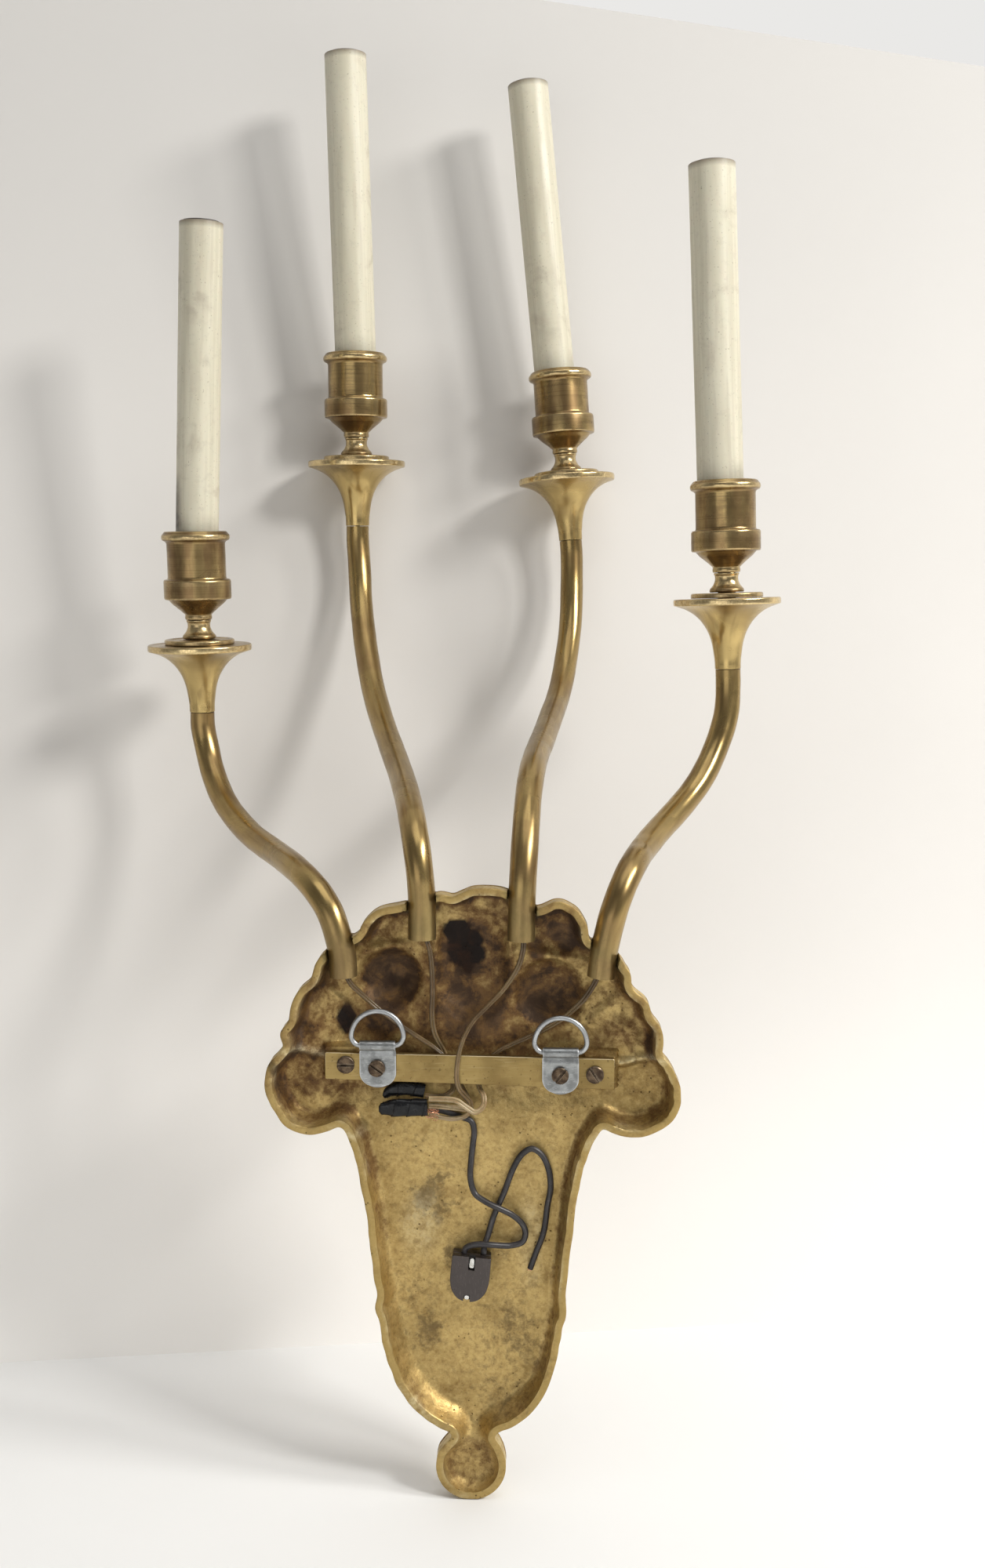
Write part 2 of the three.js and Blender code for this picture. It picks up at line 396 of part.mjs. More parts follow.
// ---------------------------------------------------------------- arms
ARMS.forEach((a, i) => {
  const n = `arm_${i + 1}_`;
  const pts = armCurvePoints[i];
  add(root, `${n}tube`, swept(pts, TUBE_R, 10, 24, TUBE_BORE_R, 6), tubeBrass);

  // turned parts share one axis; z = 0 is the middle of the drip disc
  const ax = V(a.axis).normalize();
  const g = new THREE.Group();
  g.position.copy(V(a.disc));
  g.quaternion.setFromUnitVectors(new THREE.Vector3(0, 0, 1), ax);
  root.add(g);
  add(g, `${n}trumpet`, turned([
    [BORE_R, TRUMPET_FOOT], [7.3, TRUMPET_FOOT], [7.4, -33], [8.8, -23], [11.0, -16.5], [14.4, -11],
    [18.6, -6.8], [23.4, -3.9], [DISC_R - 1, -2.0], [DISC_R, -1.7], [DISC_R, 1.8], [BORE_R, 1.8]], 12), turnedBrass);
  add(g, `${n}step_disc`, turned([
    [BORE_R, 1.8 + GAP], [STEP_R, 1.8 + GAP], [STEP_R, 4.5], [STEP_R - 0.5, 4.9], [BORE_R, 4.9]], 12), turnedBrass);
  add(g, `${n}neck`, turned([
    [5.5, 5.2], [9.5, 5.2], [9.8, 6.4], [9.3, 7.4], [7.6, 9.2], [6.6, 11.6], [6.5, 13.4], [7.1, 16.0], [5.5, 16.0]], 10), turnedBrass);
  add(g, `${n}cup`, turned([
    [5.5, 16.3], [7.7, 16.3], [7.7, 19.2], [10.8, 22.2], [15.0, 25.6], [16.4, 27.2], [19.3, 28.2], [19.5, 29],
    [19.5, 39.6], [16.9, 40.2], [16.9, 61.4], [19.6, 62.8], [19.8, 64.6], [18.6, 66.4], [17.6, CUP_TOP],
    [16.0, CUP_TOP], [16.0, CUP_FLOOR], [5.5, CUP_FLOOR]], 14), turnedBrass);

  // candle sleeve and lampholder stand on their own, slightly leaning axis
  const sx = V(a.sleeveAxis).normalize();
  const s = new THREE.Group();
  s.position.copy(V(a.sleeveRim));
  s.quaternion.setFromUnitVectors(new THREE.Vector3(0, 0, 1), sx);
  root.add(s);
  const ro = a.sleeveDia / 2, ri = ro - SLEEVE_WALL, top = a.sleeveAboveRim;
  add(s, `${n}sleeve`, turned([[ri, -SLEEVE_IN_CUP], [ro, -SLEEVE_IN_CUP], [ro, top], [ri, top]], 14), ivory);
  const hb = top + HOLDER_PROUD - HOLDER_L;
  add(s, `${n}lampholder`, turned([
    [2.4, hb], [6.6, hb], [7.4, hb + 5], [10.4, hb + 9], [HOLDER_R, hb + 10], [HOLDER_R, hb + HOLDER_L],
    [7.4, hb + HOLDER_L], [7.4, hb + 28], [2.4, hb + 28]], 10), porcelain);

  // threaded candle rod from inside the trumpet up to the lampholder
  const onAxis = (h) => V(a.disc).addScaledVector(ax, h);
  const onSleeve = (h) => V(a.sleeveRim).addScaledVector(sx, h);
  const rod = [onAxis(-14), onAxis(4), onAxis(22), onAxis(CUP_FLOOR + 1),
    onSleeve(hb - 34), onSleeve(hb - 12), onSleeve(hb - GAP)];
  add(root, `${n}candle_rod`, swept(rod, ROD_R, 8, 6, ROD_BORE_R, 6), steelDark);

  // flex held inside the tube and the rod
  const wire = pts.slice(0, -1).map((p) => p.clone());
  const dir = wire[1].clone().sub(wire[0]).normalize();
  wire[0].addScaledVector(dir, 2.6);
  wire.push(onAxis(-26), onAxis(-8), onAxis(20), onAxis(CUP_FLOOR + 2), onSleeve(hb - 34), onSleeve(hb - 12), onSleeve(hb - 0.6));
  add(root, `${n}inner_wire`, swept(wire, INNER_WIRE_R, 5, 36), clearFlex);
});

// ---------------------------------------------------------------- strap and screws
add(root, 'hanging_strap', slab(STRAP, STRAP_BACK, STRAP_BACK - STRAP_THICK, [
  ...STRAP_SCREWS.map(([x, z]) => circle(x, z, 2.6, 10)),
  ...HANGERS.map((h) => circle(h.screw[0], h.screw[1], 2.6, 10)),
]), barBrass);

// slotted screw with its head towards the wall; [x, z], head underside y, shank length
function screw(x, z, under, shank, headR, headH, shankR, slotAngle) {
  const body = turned([[0, -shank], [shankR, -shank], [shankR, 0], [headR, 0], [headR, headH * 0.7], [headR * 0.8, headH], [0, headH]], 10);
  const slot = new THREE.BoxGeometry(headR * 3, 1.3, 1.4);
  slot.rotateZ(THREE.MathUtils.degToRad(slotAngle));
  slot.translate(0, 0, headH);
  const g = fromSolid(toSolid(body).subtract(toSolid(slot)));
  g.rotateX(-Math.PI / 2);   // +Z of the screw turns to +Y
  g.translate(x, under, z);
  return g;
}
STRAP_SCREWS.forEach(([x, z, t], i) =>
  add(root, `strap_screw_${i + 1}`, screw(x, z, STRAP_BACK + GAP, 9.2, 4.6, 1.9, 2.2, t), steelDark));

// ---------------------------------------------------------------- ring hangers
HANGERS.forEach((h, i) => {
  const arc = (r, a0, a1, n) => Array.from({ length: n + 1 }, (_, k) => {
    const t = THREE.MathUtils.degToRad(a0 + ((a1 - a0) * k) / n);
    return [ROLL_Y + r * Math.cos(t), h.z + r * Math.sin(t)];
  });
  const back = STRAP_BACK + GAP, face = back + SHEET;
  // section of the folded sheet in the Y-Z plane
  const section = [
    ...arc(ROLL_RO, -70, 235, 12), ...arc(ROLL_RI, 235, -95, 12),
    [back, h.z - 4.9], [back, h.z - 12], [face, h.z - 12], [face, h.z - 5.4],
  ];
  const fold = new THREE.ExtrudeGeometry(new THREE.Shape(section.map(([y, z]) => new THREE.Vector2(y, z))),
    { depth: HANGER_W, bevelEnabled: false });
  // shape axes (Y, Z) with depth along X
  fold.applyMatrix4(new THREE.Matrix4().set(0, 0, 1, h.x - HANGER_W / 2, 1, 0, 0, 0, 0, 1, 0, 0, 0, 0, 0, 1));
  const w = HANGER_W / 2;
  const tongue = [[h.x - w, h.z - 10], ...Array.from({ length: 9 }, (_, k) => {
    const t = Math.PI + (Math.PI * k) / 8;
    return [h.x + w * Math.cos(t), h.z - 14.6 + (w - 1.6) * Math.sin(t)];
  }), [h.x + w, h.z - 10]];
  const leg = slab(tongue, face, back);
  const hole = slab(circle(h.screw[0], h.screw[1], 2.5, 10), face + 2, back - 2);
  const plate = toSolid(fold).add(toSolid(leg)).subtract(toSolid(hole));
  add(root, `hanger_plate_${i + 1}`, fromSolid(plate), zinc);
  add(root, `hanger_screw_${i + 1}`, screw(h.screw[0], h.screw[1], face + GAP, 6.6, 4.4, 1.8, 2.0, h.slot), steelDark);

  // D-shaped ring: straight bar in the roll, round above
  const loop = [[0, 0], [7.5, 0], [10.4, 0.5], [12.3, 2.0]];
  for (let k = 0; k <= 10; k++) {
    const t = Math.PI * (k / 10);
    loop.push([RING_R * Math.cos(t), RING_UP + RING_R * Math.sin(t)]);
  }
  loop.push([-12.3, 2.0], [-10.4, 0.5], [-7.5, 0]);
  const curve = new THREE.CatmullRomCurve3(loop.map(([x, z]) => new THREE.Vector3(x, 0, z)), true, 'centripetal');
  const N = 22, S = 6, pos = [], idx = [];
  for (let k = 0; k < N; k++) {
    const c = curve.getPointAt(k / N), t = curve.getTangentAt(k / N);
    const nrm = new THREE.Vector3(-t.z, 0, t.x), bi = new THREE.Vector3(0, 1, 0);
    for (let s = 0; s < S; s++) {
      const q = ((s + 0.5) / S) * Math.PI * 2;
      const p = c.clone().addScaledVector(nrm, RING_WIRE_R * Math.cos(q)).addScaledVector(bi, RING_WIRE_R * Math.sin(q));
      pos.push(p.x, p.y, p.z);
    }
  }
  for (let k = 0; k < N; k++) {
    for (let s = 0; s < S; s++) {
      const a = k * S + s, b = k * S + ((s + 1) % S), c = ((k + 1) % N) * S + s, d = ((k + 1) % N) * S + ((s + 1) % S);
      idx.push(a, c, b, b, c, d);
    }
  }
  const ring = new THREE.BufferGeometry();
  ring.setAttribute('position', new THREE.Float32BufferAttribute(pos, 3));
  ring.setIndex(idx);
  const mesh = add(root, `hanging_ring_${i + 1}`, ring, zinc);
  mesh.position.set(h.x, ROLL_Y, h.z);
});

// ---------------------------------------------------------------- leads, splices, cords, connector
for (let k = 1; k <= 4; k++) {
  add(root, `arm_${k}_lead`, swept(CORDS[`lead${k}`].map(V), LEAD_R, 8, 18), clearFlex);
}
add(root, 'supply_cord_a', swept(CORDS.cord_a.map(V), CORD_R, 8, 26), rubber);
add(root, 'supply_cord_b', swept(CORDS.cord_b.map(V), CORD_R, 8, 26), rubber);

// taped joints: flattened sleeves lying across the plate
function taped(x0, x1, y, z, ry, rz, taper, tiltDeg) {
  const g = new THREE.CylinderGeometry(1, taper, x0 - x1, 10, 2);
  g.rotateZ(Math.PI / 2);          // axis along X, the full end towards -X
  g.scale(1, ry, rz);
  g.rotateY(THREE.MathUtils.degToRad(tiltDeg));
  g.translate((x0 + x1) / 2, y, z);
  return g;
}
add(root, 'taped_splice_1', taped(48.2, 22.8, -5.7, -52.0, 3.2, 5.1, 0.62, 0), tape);
add(root, 'taped_splice_2', taped(46.6, 24.6, -10.4, -44.3, 2.8, 4.1, 0.75, 0), tape);

// in-line connector: two moulded halves held by two small screws
{
  const { x, z, w, h, tilt, back, split, front } = BLOCK;
  const outline = [[-w / 2, 0], [w / 2, 0], [w / 2 + 0.2, -h * 0.55], [w / 2 - 1.4, -h * 0.78], [w / 2 - 4.6, -h * 0.95],
    [w / 2 - 7, -h], [-w / 2 + 7, -h], [-w / 2 + 4.6, -h * 0.95], [-w / 2 + 1.4, -h * 0.78], [-w / 2 - 0.2, -h * 0.55]];
  const notch = (cx, z0, z1) => slab([[cx - 1.7, z0], [cx + 1.7, z0], [cx + 1.7, z1], [cx - 1.7, z1]], back + 1, split + 1.6);
  const group = new THREE.Group();
  group.position.set(x, 0, z);
  group.rotation.y = THREE.MathUtils.degToRad(tilt);
  root.add(group);
  let cover = toSolid(slab(outline, back, split));
  cover = cover.subtract(toSolid(notch(-0.4, -7.2, 1))).subtract(toSolid(notch(0.6, -h - 1, -h + 3.6)));
  for (const cx of [-0.4, 0.6]) cover = cover.subtract(toSolid(slab(circle(cx, cx < 0 ? -4.6 : -h + 1.7, 1.5, 8), back + 1, split - 1)));
  const sorted = cover.decompose().sort((p, q) => q.volume() - p.volume());
  add(group, 'connector_cover', fromSolid(sorted[0]), bakelite);
  let base = toSolid(slab(outline, split - GAP, front));
  for (const [cx, cz] of [[-0.4, -4.6], [0.6, -h + 1.7]]) base = base.subtract(toSolid(slab(circle(cx, cz, 1.5, 8), 0, front + 2.4)));
  // wire entries
  add(group, 'connector_base', fromSolid(base.decompose().sort((p, q) => q.volume() - p.volume())[0]), bakelite);
  [[-0.4, -4.6], [0.6, -h + 1.7]].forEach(([cx, cz], i) =>
    add(group, `connector_screw_${i + 1}`, screw(cx, cz, split + 1.6 + GAP, 4.2, 1.35, 1.5, 1.1, 0), nickel));
}

export default root;
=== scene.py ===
import math
import bpy
import bmesh
import numpy as np
from mathutils import Vector, Matrix
from mathutils.geometry import delaunay_2d_cdt


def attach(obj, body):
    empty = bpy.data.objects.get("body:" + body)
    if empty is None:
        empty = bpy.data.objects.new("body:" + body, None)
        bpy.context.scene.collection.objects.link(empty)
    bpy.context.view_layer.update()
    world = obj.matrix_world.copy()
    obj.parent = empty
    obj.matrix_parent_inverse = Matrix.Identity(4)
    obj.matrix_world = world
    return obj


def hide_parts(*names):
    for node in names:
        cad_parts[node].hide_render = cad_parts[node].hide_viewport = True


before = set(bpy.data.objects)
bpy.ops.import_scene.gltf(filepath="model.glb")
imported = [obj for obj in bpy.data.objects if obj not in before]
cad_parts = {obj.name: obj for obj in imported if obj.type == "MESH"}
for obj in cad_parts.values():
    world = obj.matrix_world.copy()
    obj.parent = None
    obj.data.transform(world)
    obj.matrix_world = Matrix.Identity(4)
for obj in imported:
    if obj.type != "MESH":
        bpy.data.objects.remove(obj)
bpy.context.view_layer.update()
MM = 0.001
rng = np.random.default_rng(7)

# ------------------------------------------------------------------ measured data, millimetres
# outline of the casting seen along Y, [x, z]
OUTLINE = np.array([
    [3.31, -262.93], [4.38, -262.87], [5.66, -262.51], [9.72, -260.23], [12.23, -259.35], [12.63, -259.09],
    [14.14, -257.37], [15.55, -256.72], [15.69, -256.53], [16.82, -253.81], [18.85, -247.35], [18.93, -244.14],
    [18.58, -241.67], [18.48, -239.14], [18.24, -238.23], [13.87, -232.04], [10.88, -229.23], [10.47, -228.12],
    [10.79, -226.98], [11.5, -226.17], [13.01, -225.31], [16.91, -223.82], [21.07, -220.97], [23.67, -219.56],
    [25.98, -217.27], [28.44, -215.33], [32.78, -210.81], [34.1, -208.99], [35.55, -206.22], [37.67, -203.26],
    [39.7, -199.99], [40.9, -196.79], [42.04, -192.45], [43.18, -190.31], [44.41, -187.12], [45.37, -182.4],
    [47.15, -176.37], [47.28, -173.5], [48.53, -164.38], [50.16, -160.79], [50.67, -157.88], [50.44, -155.75],
    [49.41, -152.73], [49.3, -151.38], [49.65, -147.95], [50.59, -144.89], [51.01, -142.63], [51.44, -138.2],
    [51.51, -134.79], [52.93, -125.54], [53.17, -121.17], [53.7, -118.57], [53.76, -113.98], [54.58, -106.59],
    [55.19, -104.31], [55.75, -99.9], [57, -95.06], [57.94, -89.49], [58.11, -86.56], [58.72, -84.28],
    [58.98, -81.85], [60.27, -77.73], [61.09, -73.85], [63.08, -68.78], [64.18, -65.42], [66.18, -61.84],
    [67.3, -60.91], [68.32, -60.56], [69.34, -60.75], [72.39, -62.43], [74.78, -63.3], [81.27, -65], [83.29, -65.24],
    [84.69, -65.12], [89.05, -64.19], [92.79, -62.8], [95.89, -61.01], [98.24, -58.66], [101.31, -53.19],
    [102.39, -51.83], [103.44, -50.11], [104.42, -47.49], [105.88, -44.36], [106.67, -39.9], [106.73, -38.02],
    [105.38, -30.13], [104.91, -28.87], [102.97, -25.8], [100.88, -24.18], [99.5, -22.24], [97.5, -20.12],
    [96.7, -18.91], [96.56, -17.81], [96.78, -16.82], [98.19, -14.03], [98.27, -11.91], [98.13, -10.59],
    [97.75, -9.88], [96.16, -8.33], [93.78, -5.34], [93.41, -3.99], [93.02, 0.16], [92.24, 3.42], [91.05, 6.51],
    [89.45, 9.45], [88.43, 10.92], [85.78, 13.45], [83.61, 14.97], [82.61, 15.95], [81.09, 19.72], [80.09, 23.83],
    [79.39, 25.38], [76.05, 29.88], [74.29, 31.21], [72.34, 33.58], [70.29, 35.24], [67.56, 36.67], [66.17, 37.19],
    [62.61, 38.06], [58.31, 40.05], [57.24, 41.55], [55.7, 45.39], [54.18, 47.39], [51.68, 50.06], [48.96, 52.26],
    [47.06, 53.18], [44, 54.18], [36.79, 55.48], [33.83, 56.43], [33.21, 56.33], [30.08, 54.67], [28.65, 54.49],
    [26.42, 54.72], [24.71, 55.4], [20.8, 59.04], [17.5, 61.32], [17.25, 61.35], [15.58, 61.01], [12.95, 60.82],
    [10.94, 59.99], [9.51, 59.79], [8.1, 60.22], [6.26, 61.47], [4.06, 62.14], [1.15, 63.66], [-1.99, 64.21],
    [-6.5, 64.37], [-11.4, 64.21], [-16.13, 63.45], [-17.75, 62.96], [-19.28, 62.12], [-22.08, 60.06],
    [-26.54, 55.94], [-30.02, 54.11], [-34.55, 54.16], [-37.45, 55.36], [-41.3, 57.34], [-43.24, 57.64],
    [-45.62, 57.54], [-46.96, 57.3], [-48.49, 56.74], [-50.32, 55.51], [-52.6, 54.36], [-54.4, 52.85],
    [-56.6, 49.55], [-58.84, 45.4], [-59.36, 43.42], [-59.58, 38.95], [-60.15, 37.59], [-60.95, 36.85],
    [-61.88, 36.47], [-66.11, 35.55], [-69.84, 33.69], [-74.41, 30.04], [-76.93, 27.38], [-77.44, 26.63],
    [-78.67, 23.83], [-80.44, 21.88], [-81.02, 20.85], [-81.38, 17.66], [-81.33, 15.37], [-81.62, 14.03],
    [-82.23, 12.77], [-84.31, 10.56], [-87.73, 8.11], [-89.71, 6.1], [-90.22, 5.37], [-90.97, 3.45], [-91.66, 0.05],
    [-92.22, -1.62], [-96.3, -6.72], [-97.38, -9.23], [-97.98, -13.3], [-97.97, -17.21], [-97.41, -19.9],
    [-97.67, -21.74], [-98.61, -23.33], [-100.84, -25.44], [-102.24, -28.07], [-103.62, -29.88], [-105.01, -33.79],
    [-106.16, -35.76], [-106.89, -37.69], [-107.13, -39.01], [-107.23, -43.98], [-107.46, -46.29], [-107.31, -47.33],
    [-106.26, -50.57], [-105, -53.43], [-103.33, -56.05], [-100.07, -59.11], [-97.62, -60.66], [-93.71, -62.74],
    [-89.66, -64.38], [-87.61, -64.86], [-81, -65], [-77.73, -64.54], [-73.18, -63.06], [-70.53, -62.05],
    [-68.99, -60.89], [-67.8, -60.45], [-66.51, -61.34], [-64.78, -64.52], [-62.55, -67.84], [-61.21, -71.55],
    [-60.23, -73.7], [-59.15, -77.83], [-57.61, -81.05], [-57.3, -83.55], [-56.03, -89.33], [-55.73, -92.14],
    [-54.42, -97.48], [-54.18, -99.92], [-53.57, -102.65], [-53.48, -105.2], [-52.8, -111.78], [-52.67, -115.49],
    [-51.26, -125.02], [-50.46, -132.03], [-49.97, -139.06], [-48.89, -148.45], [-48.89, -153.67], [-49.3, -158.16],
    [-48.86, -163.37], [-48.71, -163.96], [-47.6, -166.05], [-47.05, -168.17], [-46.82, -169.85], [-46.8, -172.5],
    [-45.49, -177.5], [-45.19, -180.86], [-44.49, -184.77], [-40.29, -199.29], [-37.05, -206.37], [-33.37, -211.94],
    [-29.76, -216.25], [-27.06, -218.56], [-22.32, -222.02], [-19.42, -223.65], [-15.68, -224.74], [-12.98, -226.5],
    [-11.9, -227.67], [-11.95, -229.35], [-14.24, -232.26], [-16.06, -236.09], [-17.44, -239.72], [-17.62, -240.66],
    [-17.76, -246.8], [-17.6, -248.74], [-16.26, -252.3], [-14.11, -255.65], [-12.7, -257.52], [-10.9, -259.16],
    [-9.61, -260.62], [-8.88, -261.06], [-3.96, -262.73],
])
OUTLINE_LOW = -262.9
ARMS = [
    dict(disc=[165, -145, 181.4], axis=[0.0103, 0.0454, 0.9989],
         rim=[164.5, -141.9, 249.4], sleeve_axis=[-0.0427, 0.0453, 0.9981], top=171.8, dia=24.6,
         path=[
             [66.1, -8, 16.9], [66.7, -8, 28.5], [69.2, -8, 39.7], [73.2, -10.2, 50.3], [79.3, -15.1, 58.8],
             [86, -22.5, 64.5], [91.9, -32, 67.5], [97.3, -42.1, 69.3], [102.4, -52.4, 70.4], [107.6, -62.7, 71.4],
             [113.2, -72.7, 72.7], [119.4, -82.4, 74.5], [125.8, -91.7, 76.8], [132, -101, 80], [138.2, -109.9, 84],
             [144.2, -118.5, 88.8], [149.7, -126.7, 94.8], [154.5, -134.3, 102.2], [158.6, -140.6, 110.9],
             [161.7, -145.1, 121.1],
         ]),
    dict(disc=[79.9, -222, 293.2], axis=[0.0023, 0.0262, 0.9997],
         rim=[79.8, -220.2, 360.5], sleeve_axis=[0.0236, 0.0262, 0.9994], top=176.2, dia=25.2,
         path=[
             [25.6, -8, 36.8], [25.5, -8, 48.4], [25.7, -8, 60], [26.6, -8.1, 71.5], [28.2, -11.5, 82.4],
             [30.2, -18.7, 91.2], [32.1, -28.6, 96.9], [33.9, -39.3, 100.7], [35.7, -50.4, 103.8],
             [37.6, -61.4, 106.6], [39.6, -72.5, 109.3], [41.7, -83.5, 112.2], [44, -94.4, 115.3],
             [46.5, -105.2, 118.7], [49.1, -115.9, 122.4], [51.8, -126.4, 126.4], [54.7, -136.6, 131.1],
             [57.6, -146.5, 136.3], [60.5, -156, 142.3], [63.4, -165, 149], [66.1, -173.6, 156.3],
             [68.5, -181.6, 164.3], [70.6, -189.3, 172.7], [72.7, -196.6, 181.5], [74.4, -203.3, 190.7],
             [76, -209.4, 200.4], [77.3, -214.7, 210.7], [78.1, -218.9, 221.4], [78.9, -221.8, 232.6],
         ]),
    dict(disc=[-51.5, -236, 284.3], axis=[0.0714, -0.0261, 0.9971],
         rim=[-43.3, -237.8, 352.9], sleeve_axis=[0.0979, -0.0261, 0.9949], top=174.1, dia=25,
         path=[
             [-25.3, -8, 36.3], [-25.4, -8, 47.6], [-25.7, -8, 58.9], [-26.2, -9.2, 70.2], [-26.8, -13.1, 80.8],
             [-27.4, -19, 90.4], [-28, -26.5, 98.8], [-28.6, -35.1, 106.1], [-29.4, -44.7, 112.1],
             [-30.3, -55, 116.8], [-31.2, -65.7, 120.2], [-32.2, -76.7, 122.7], [-33.3, -87.7, 125],
             [-34.6, -98.8, 127.1], [-35.9, -109.8, 129.3], [-37.2, -120.8, 131.6], [-38.5, -131.8, 134.1],
             [-39.9, -142.7, 136.8], [-41.3, -153.6, 139.7], [-42.8, -164.3, 142.8], [-44.5, -175, 146.3],
             [-46.2, -185.2, 150.8], [-48, -194.8, 156.6], [-49.7, -203.3, 163.9], [-51.2, -210.7, 172.3],
             [-52.7, -217.2, 181.4], [-53.9, -222.7, 191.3], [-54.6, -227.1, 201.6], [-54.9, -230.6, 212.4],
             [-55, -233.1, 223.4],
         ]),
    dict(disc=[-140.2, -119, 208.3], axis=[0.0309, 0.0000, 0.9995],
         rim=[-135.4, -119, 276.5], sleeve_axis=[0.0428, 0.0000, 0.9991], top=170.8, dia=26,
         path=[
             [-66.1, -8, 17.3], [-67.4, -8, 28.7], [-69.7, -8, 39.9], [-72.5, -8.1, 51.1], [-76.3, -11.2, 61.4],
             [-80.6, -17.7, 69.7], [-84.4, -27.5, 74.2], [-87.5, -38.3, 76.5], [-91.3, -48.8, 79.1],
             [-95.8, -58.8, 82.5], [-100.9, -68.3, 86.3], [-106.7, -77.3, 90.7], [-112.7, -85.6, 95.7],
             [-118.8, -93.3, 101.6], [-124.7, -100.2, 108.6], [-130, -106.2, 116.9], [-134.5, -111.1, 126.2],
             [-138.4, -114.8, 136.3], [-141, -117.4, 147.2],
         ]),
]
CORDS = {
    "lead1": [
        [65.4, -9, 18.7], [62.8, -10.5, 12.6], [57.8, -12.5, 6.8], [50.7, -14, -0.2], [40.9, -14, -8.1],
        [28.7, -13, -16], [18.9, -12.2, -22.4], [13.2, -12, -28.2], [8.7, -12, -35.7], [5, -12, -43.2],
        [1.8, -11.6, -48.9], [0.5, -10.2, -53.1], [3.3, -8.6, -56.8], [9.8, -8.2, -58.4], [16.3, -8.6, -57.7],
        [22.5, -8.6, -56.1],
    ],
    "lead2": [
        [23.8, -8.8, 39.5], [23.3, -9.2, 36.2], [21.8, -11, 30.1], [20.8, -13.5, 18], [20.7, -14.5, 5.3],
        [21, -15.2, -7.4], [19.5, -16.2, -16], [15.4, -16.4, -24.4], [12.2, -16.2, -32.7], [10.4, -14.6, -39.8],
        [10.3, -12, -44.1], [13.9, -10.2, -46.5], [18.8, -10, -46.9], [24.3, -10, -46.5],
    ],
    "lead3": [
        [-26.6, -9, 38.1], [-26.2, -11, 30.3], [-23.4, -12, 20.6], [-16.2, -11.5, 9.6], [-7.3, -9.5, 0.5],
        [-0.5, -7, -6.3], [3.8, -4.5, -13.6], [6.2, -3.6, -20.8], [7.4, -3.5, -28.2], [7.7, -3.4, -35.6],
        [6.5, -3.9, -41.1], [3.2, -6.6, -46.1], [0.8, -7.2, -49.6], [2.4, -6.6, -52.4], [8.8, -6.2, -51.9],
        [16.1, -5.4, -50.9], [22.3, -5.4, -50.7],
    ],
    "lead4": [
        [-65.3, -9, 19.1], [-62.6, -11.5, 12.3], [-56.7, -13.5, 3.1], [-46.2, -14, -6.6], [-33.2, -13.5, -14.1],
        [-21.5, -12.6, -19.3], [-12.9, -12, -23.8], [-7.2, -12, -30.5], [-3.4, -12.2, -37.3], [-3.6, -11.3, -42.1],
        [-6.2, -6.5, -46], [-5.8, -4.2, -50.3], [-1.8, -2.9, -53], [3, -2.2, -50.1], [7.8, -2.3, -46.9],
        [15.2, -3, -46.3], [21.3, -3.6, -46.5], [22.1, -3.7, -46.5],
    ],
    "cord_a": [
        [22.7, -12.4, -54.8], [17.3, -12.2, -55.1], [11.2, -12, -56.7], [5.1, -12.4, -58.9], [0.6, -12.4, -61],
        [-0.9, -12, -65.9], [-0.2, -11.8, -73.4], [0.6, -11.8, -81], [1, -11.5, -92], [-1.5, -10.5, -99.6],
        [-6.1, -9, -102.6], [-9.4, -7.9, -104.1], [-14.3, -7.9, -106.4], [-20.4, -9, -109.9], [-26.1, -11, -115.8],
        [-27.8, -11.8, -121.2], [-26.2, -11.8, -125.9], [-20.4, -11, -127.6], [-13.9, -8.6, -126.7],
        [-8.2, -6.6, -125.5], [-2, -6.8, -125.6], [2.1, -7.5, -127], [3.9, -7.8, -128.7], [4.2, -7.9, -130.3],
    ],
    "cord_b": [
        [-6, -8.6, -131.2], [-6.1, -8.8, -128.8], [-6.7, -10.4, -126.2], [-7.9, -11.8, -123.1],
        [-10.9, -11.8, -112.8], [-13.8, -11.8, -105.5], [-16.7, -11.8, -98.7], [-21.6, -11.6, -85.4],
        [-26.1, -11.2, -78], [-31, -11, -75], [-35.9, -11.2, -78], [-39.6, -11.5, -85.6], [-40.9, -11.8, -95.9],
        [-39.3, -11.8, -106.1], [-37.3, -11.8, -120.7], [-33.6, -11.8, -131], [-30.3, -11.8, -140.5],
    ],
}
STRAP = [[75.9, -22.8], [-73.5, -25.4], [-73.6, -41.5], [76.0, -36.9]]
STRAP_SCREWS = [[65.2, -29.1, 0], [-63.4, -33.5, 55]]
HANGERS = [(48.5, -18.5, (49.0, -30.6), 35), (-45.7, -21.5, (-45.5, -33.8), -50)]
BLOCK = dict(x=0.1, z=-130.95, w=20.4, h=24.4, tilt=-5.4, back=-2.6, split=-7.6, front=-13.4)


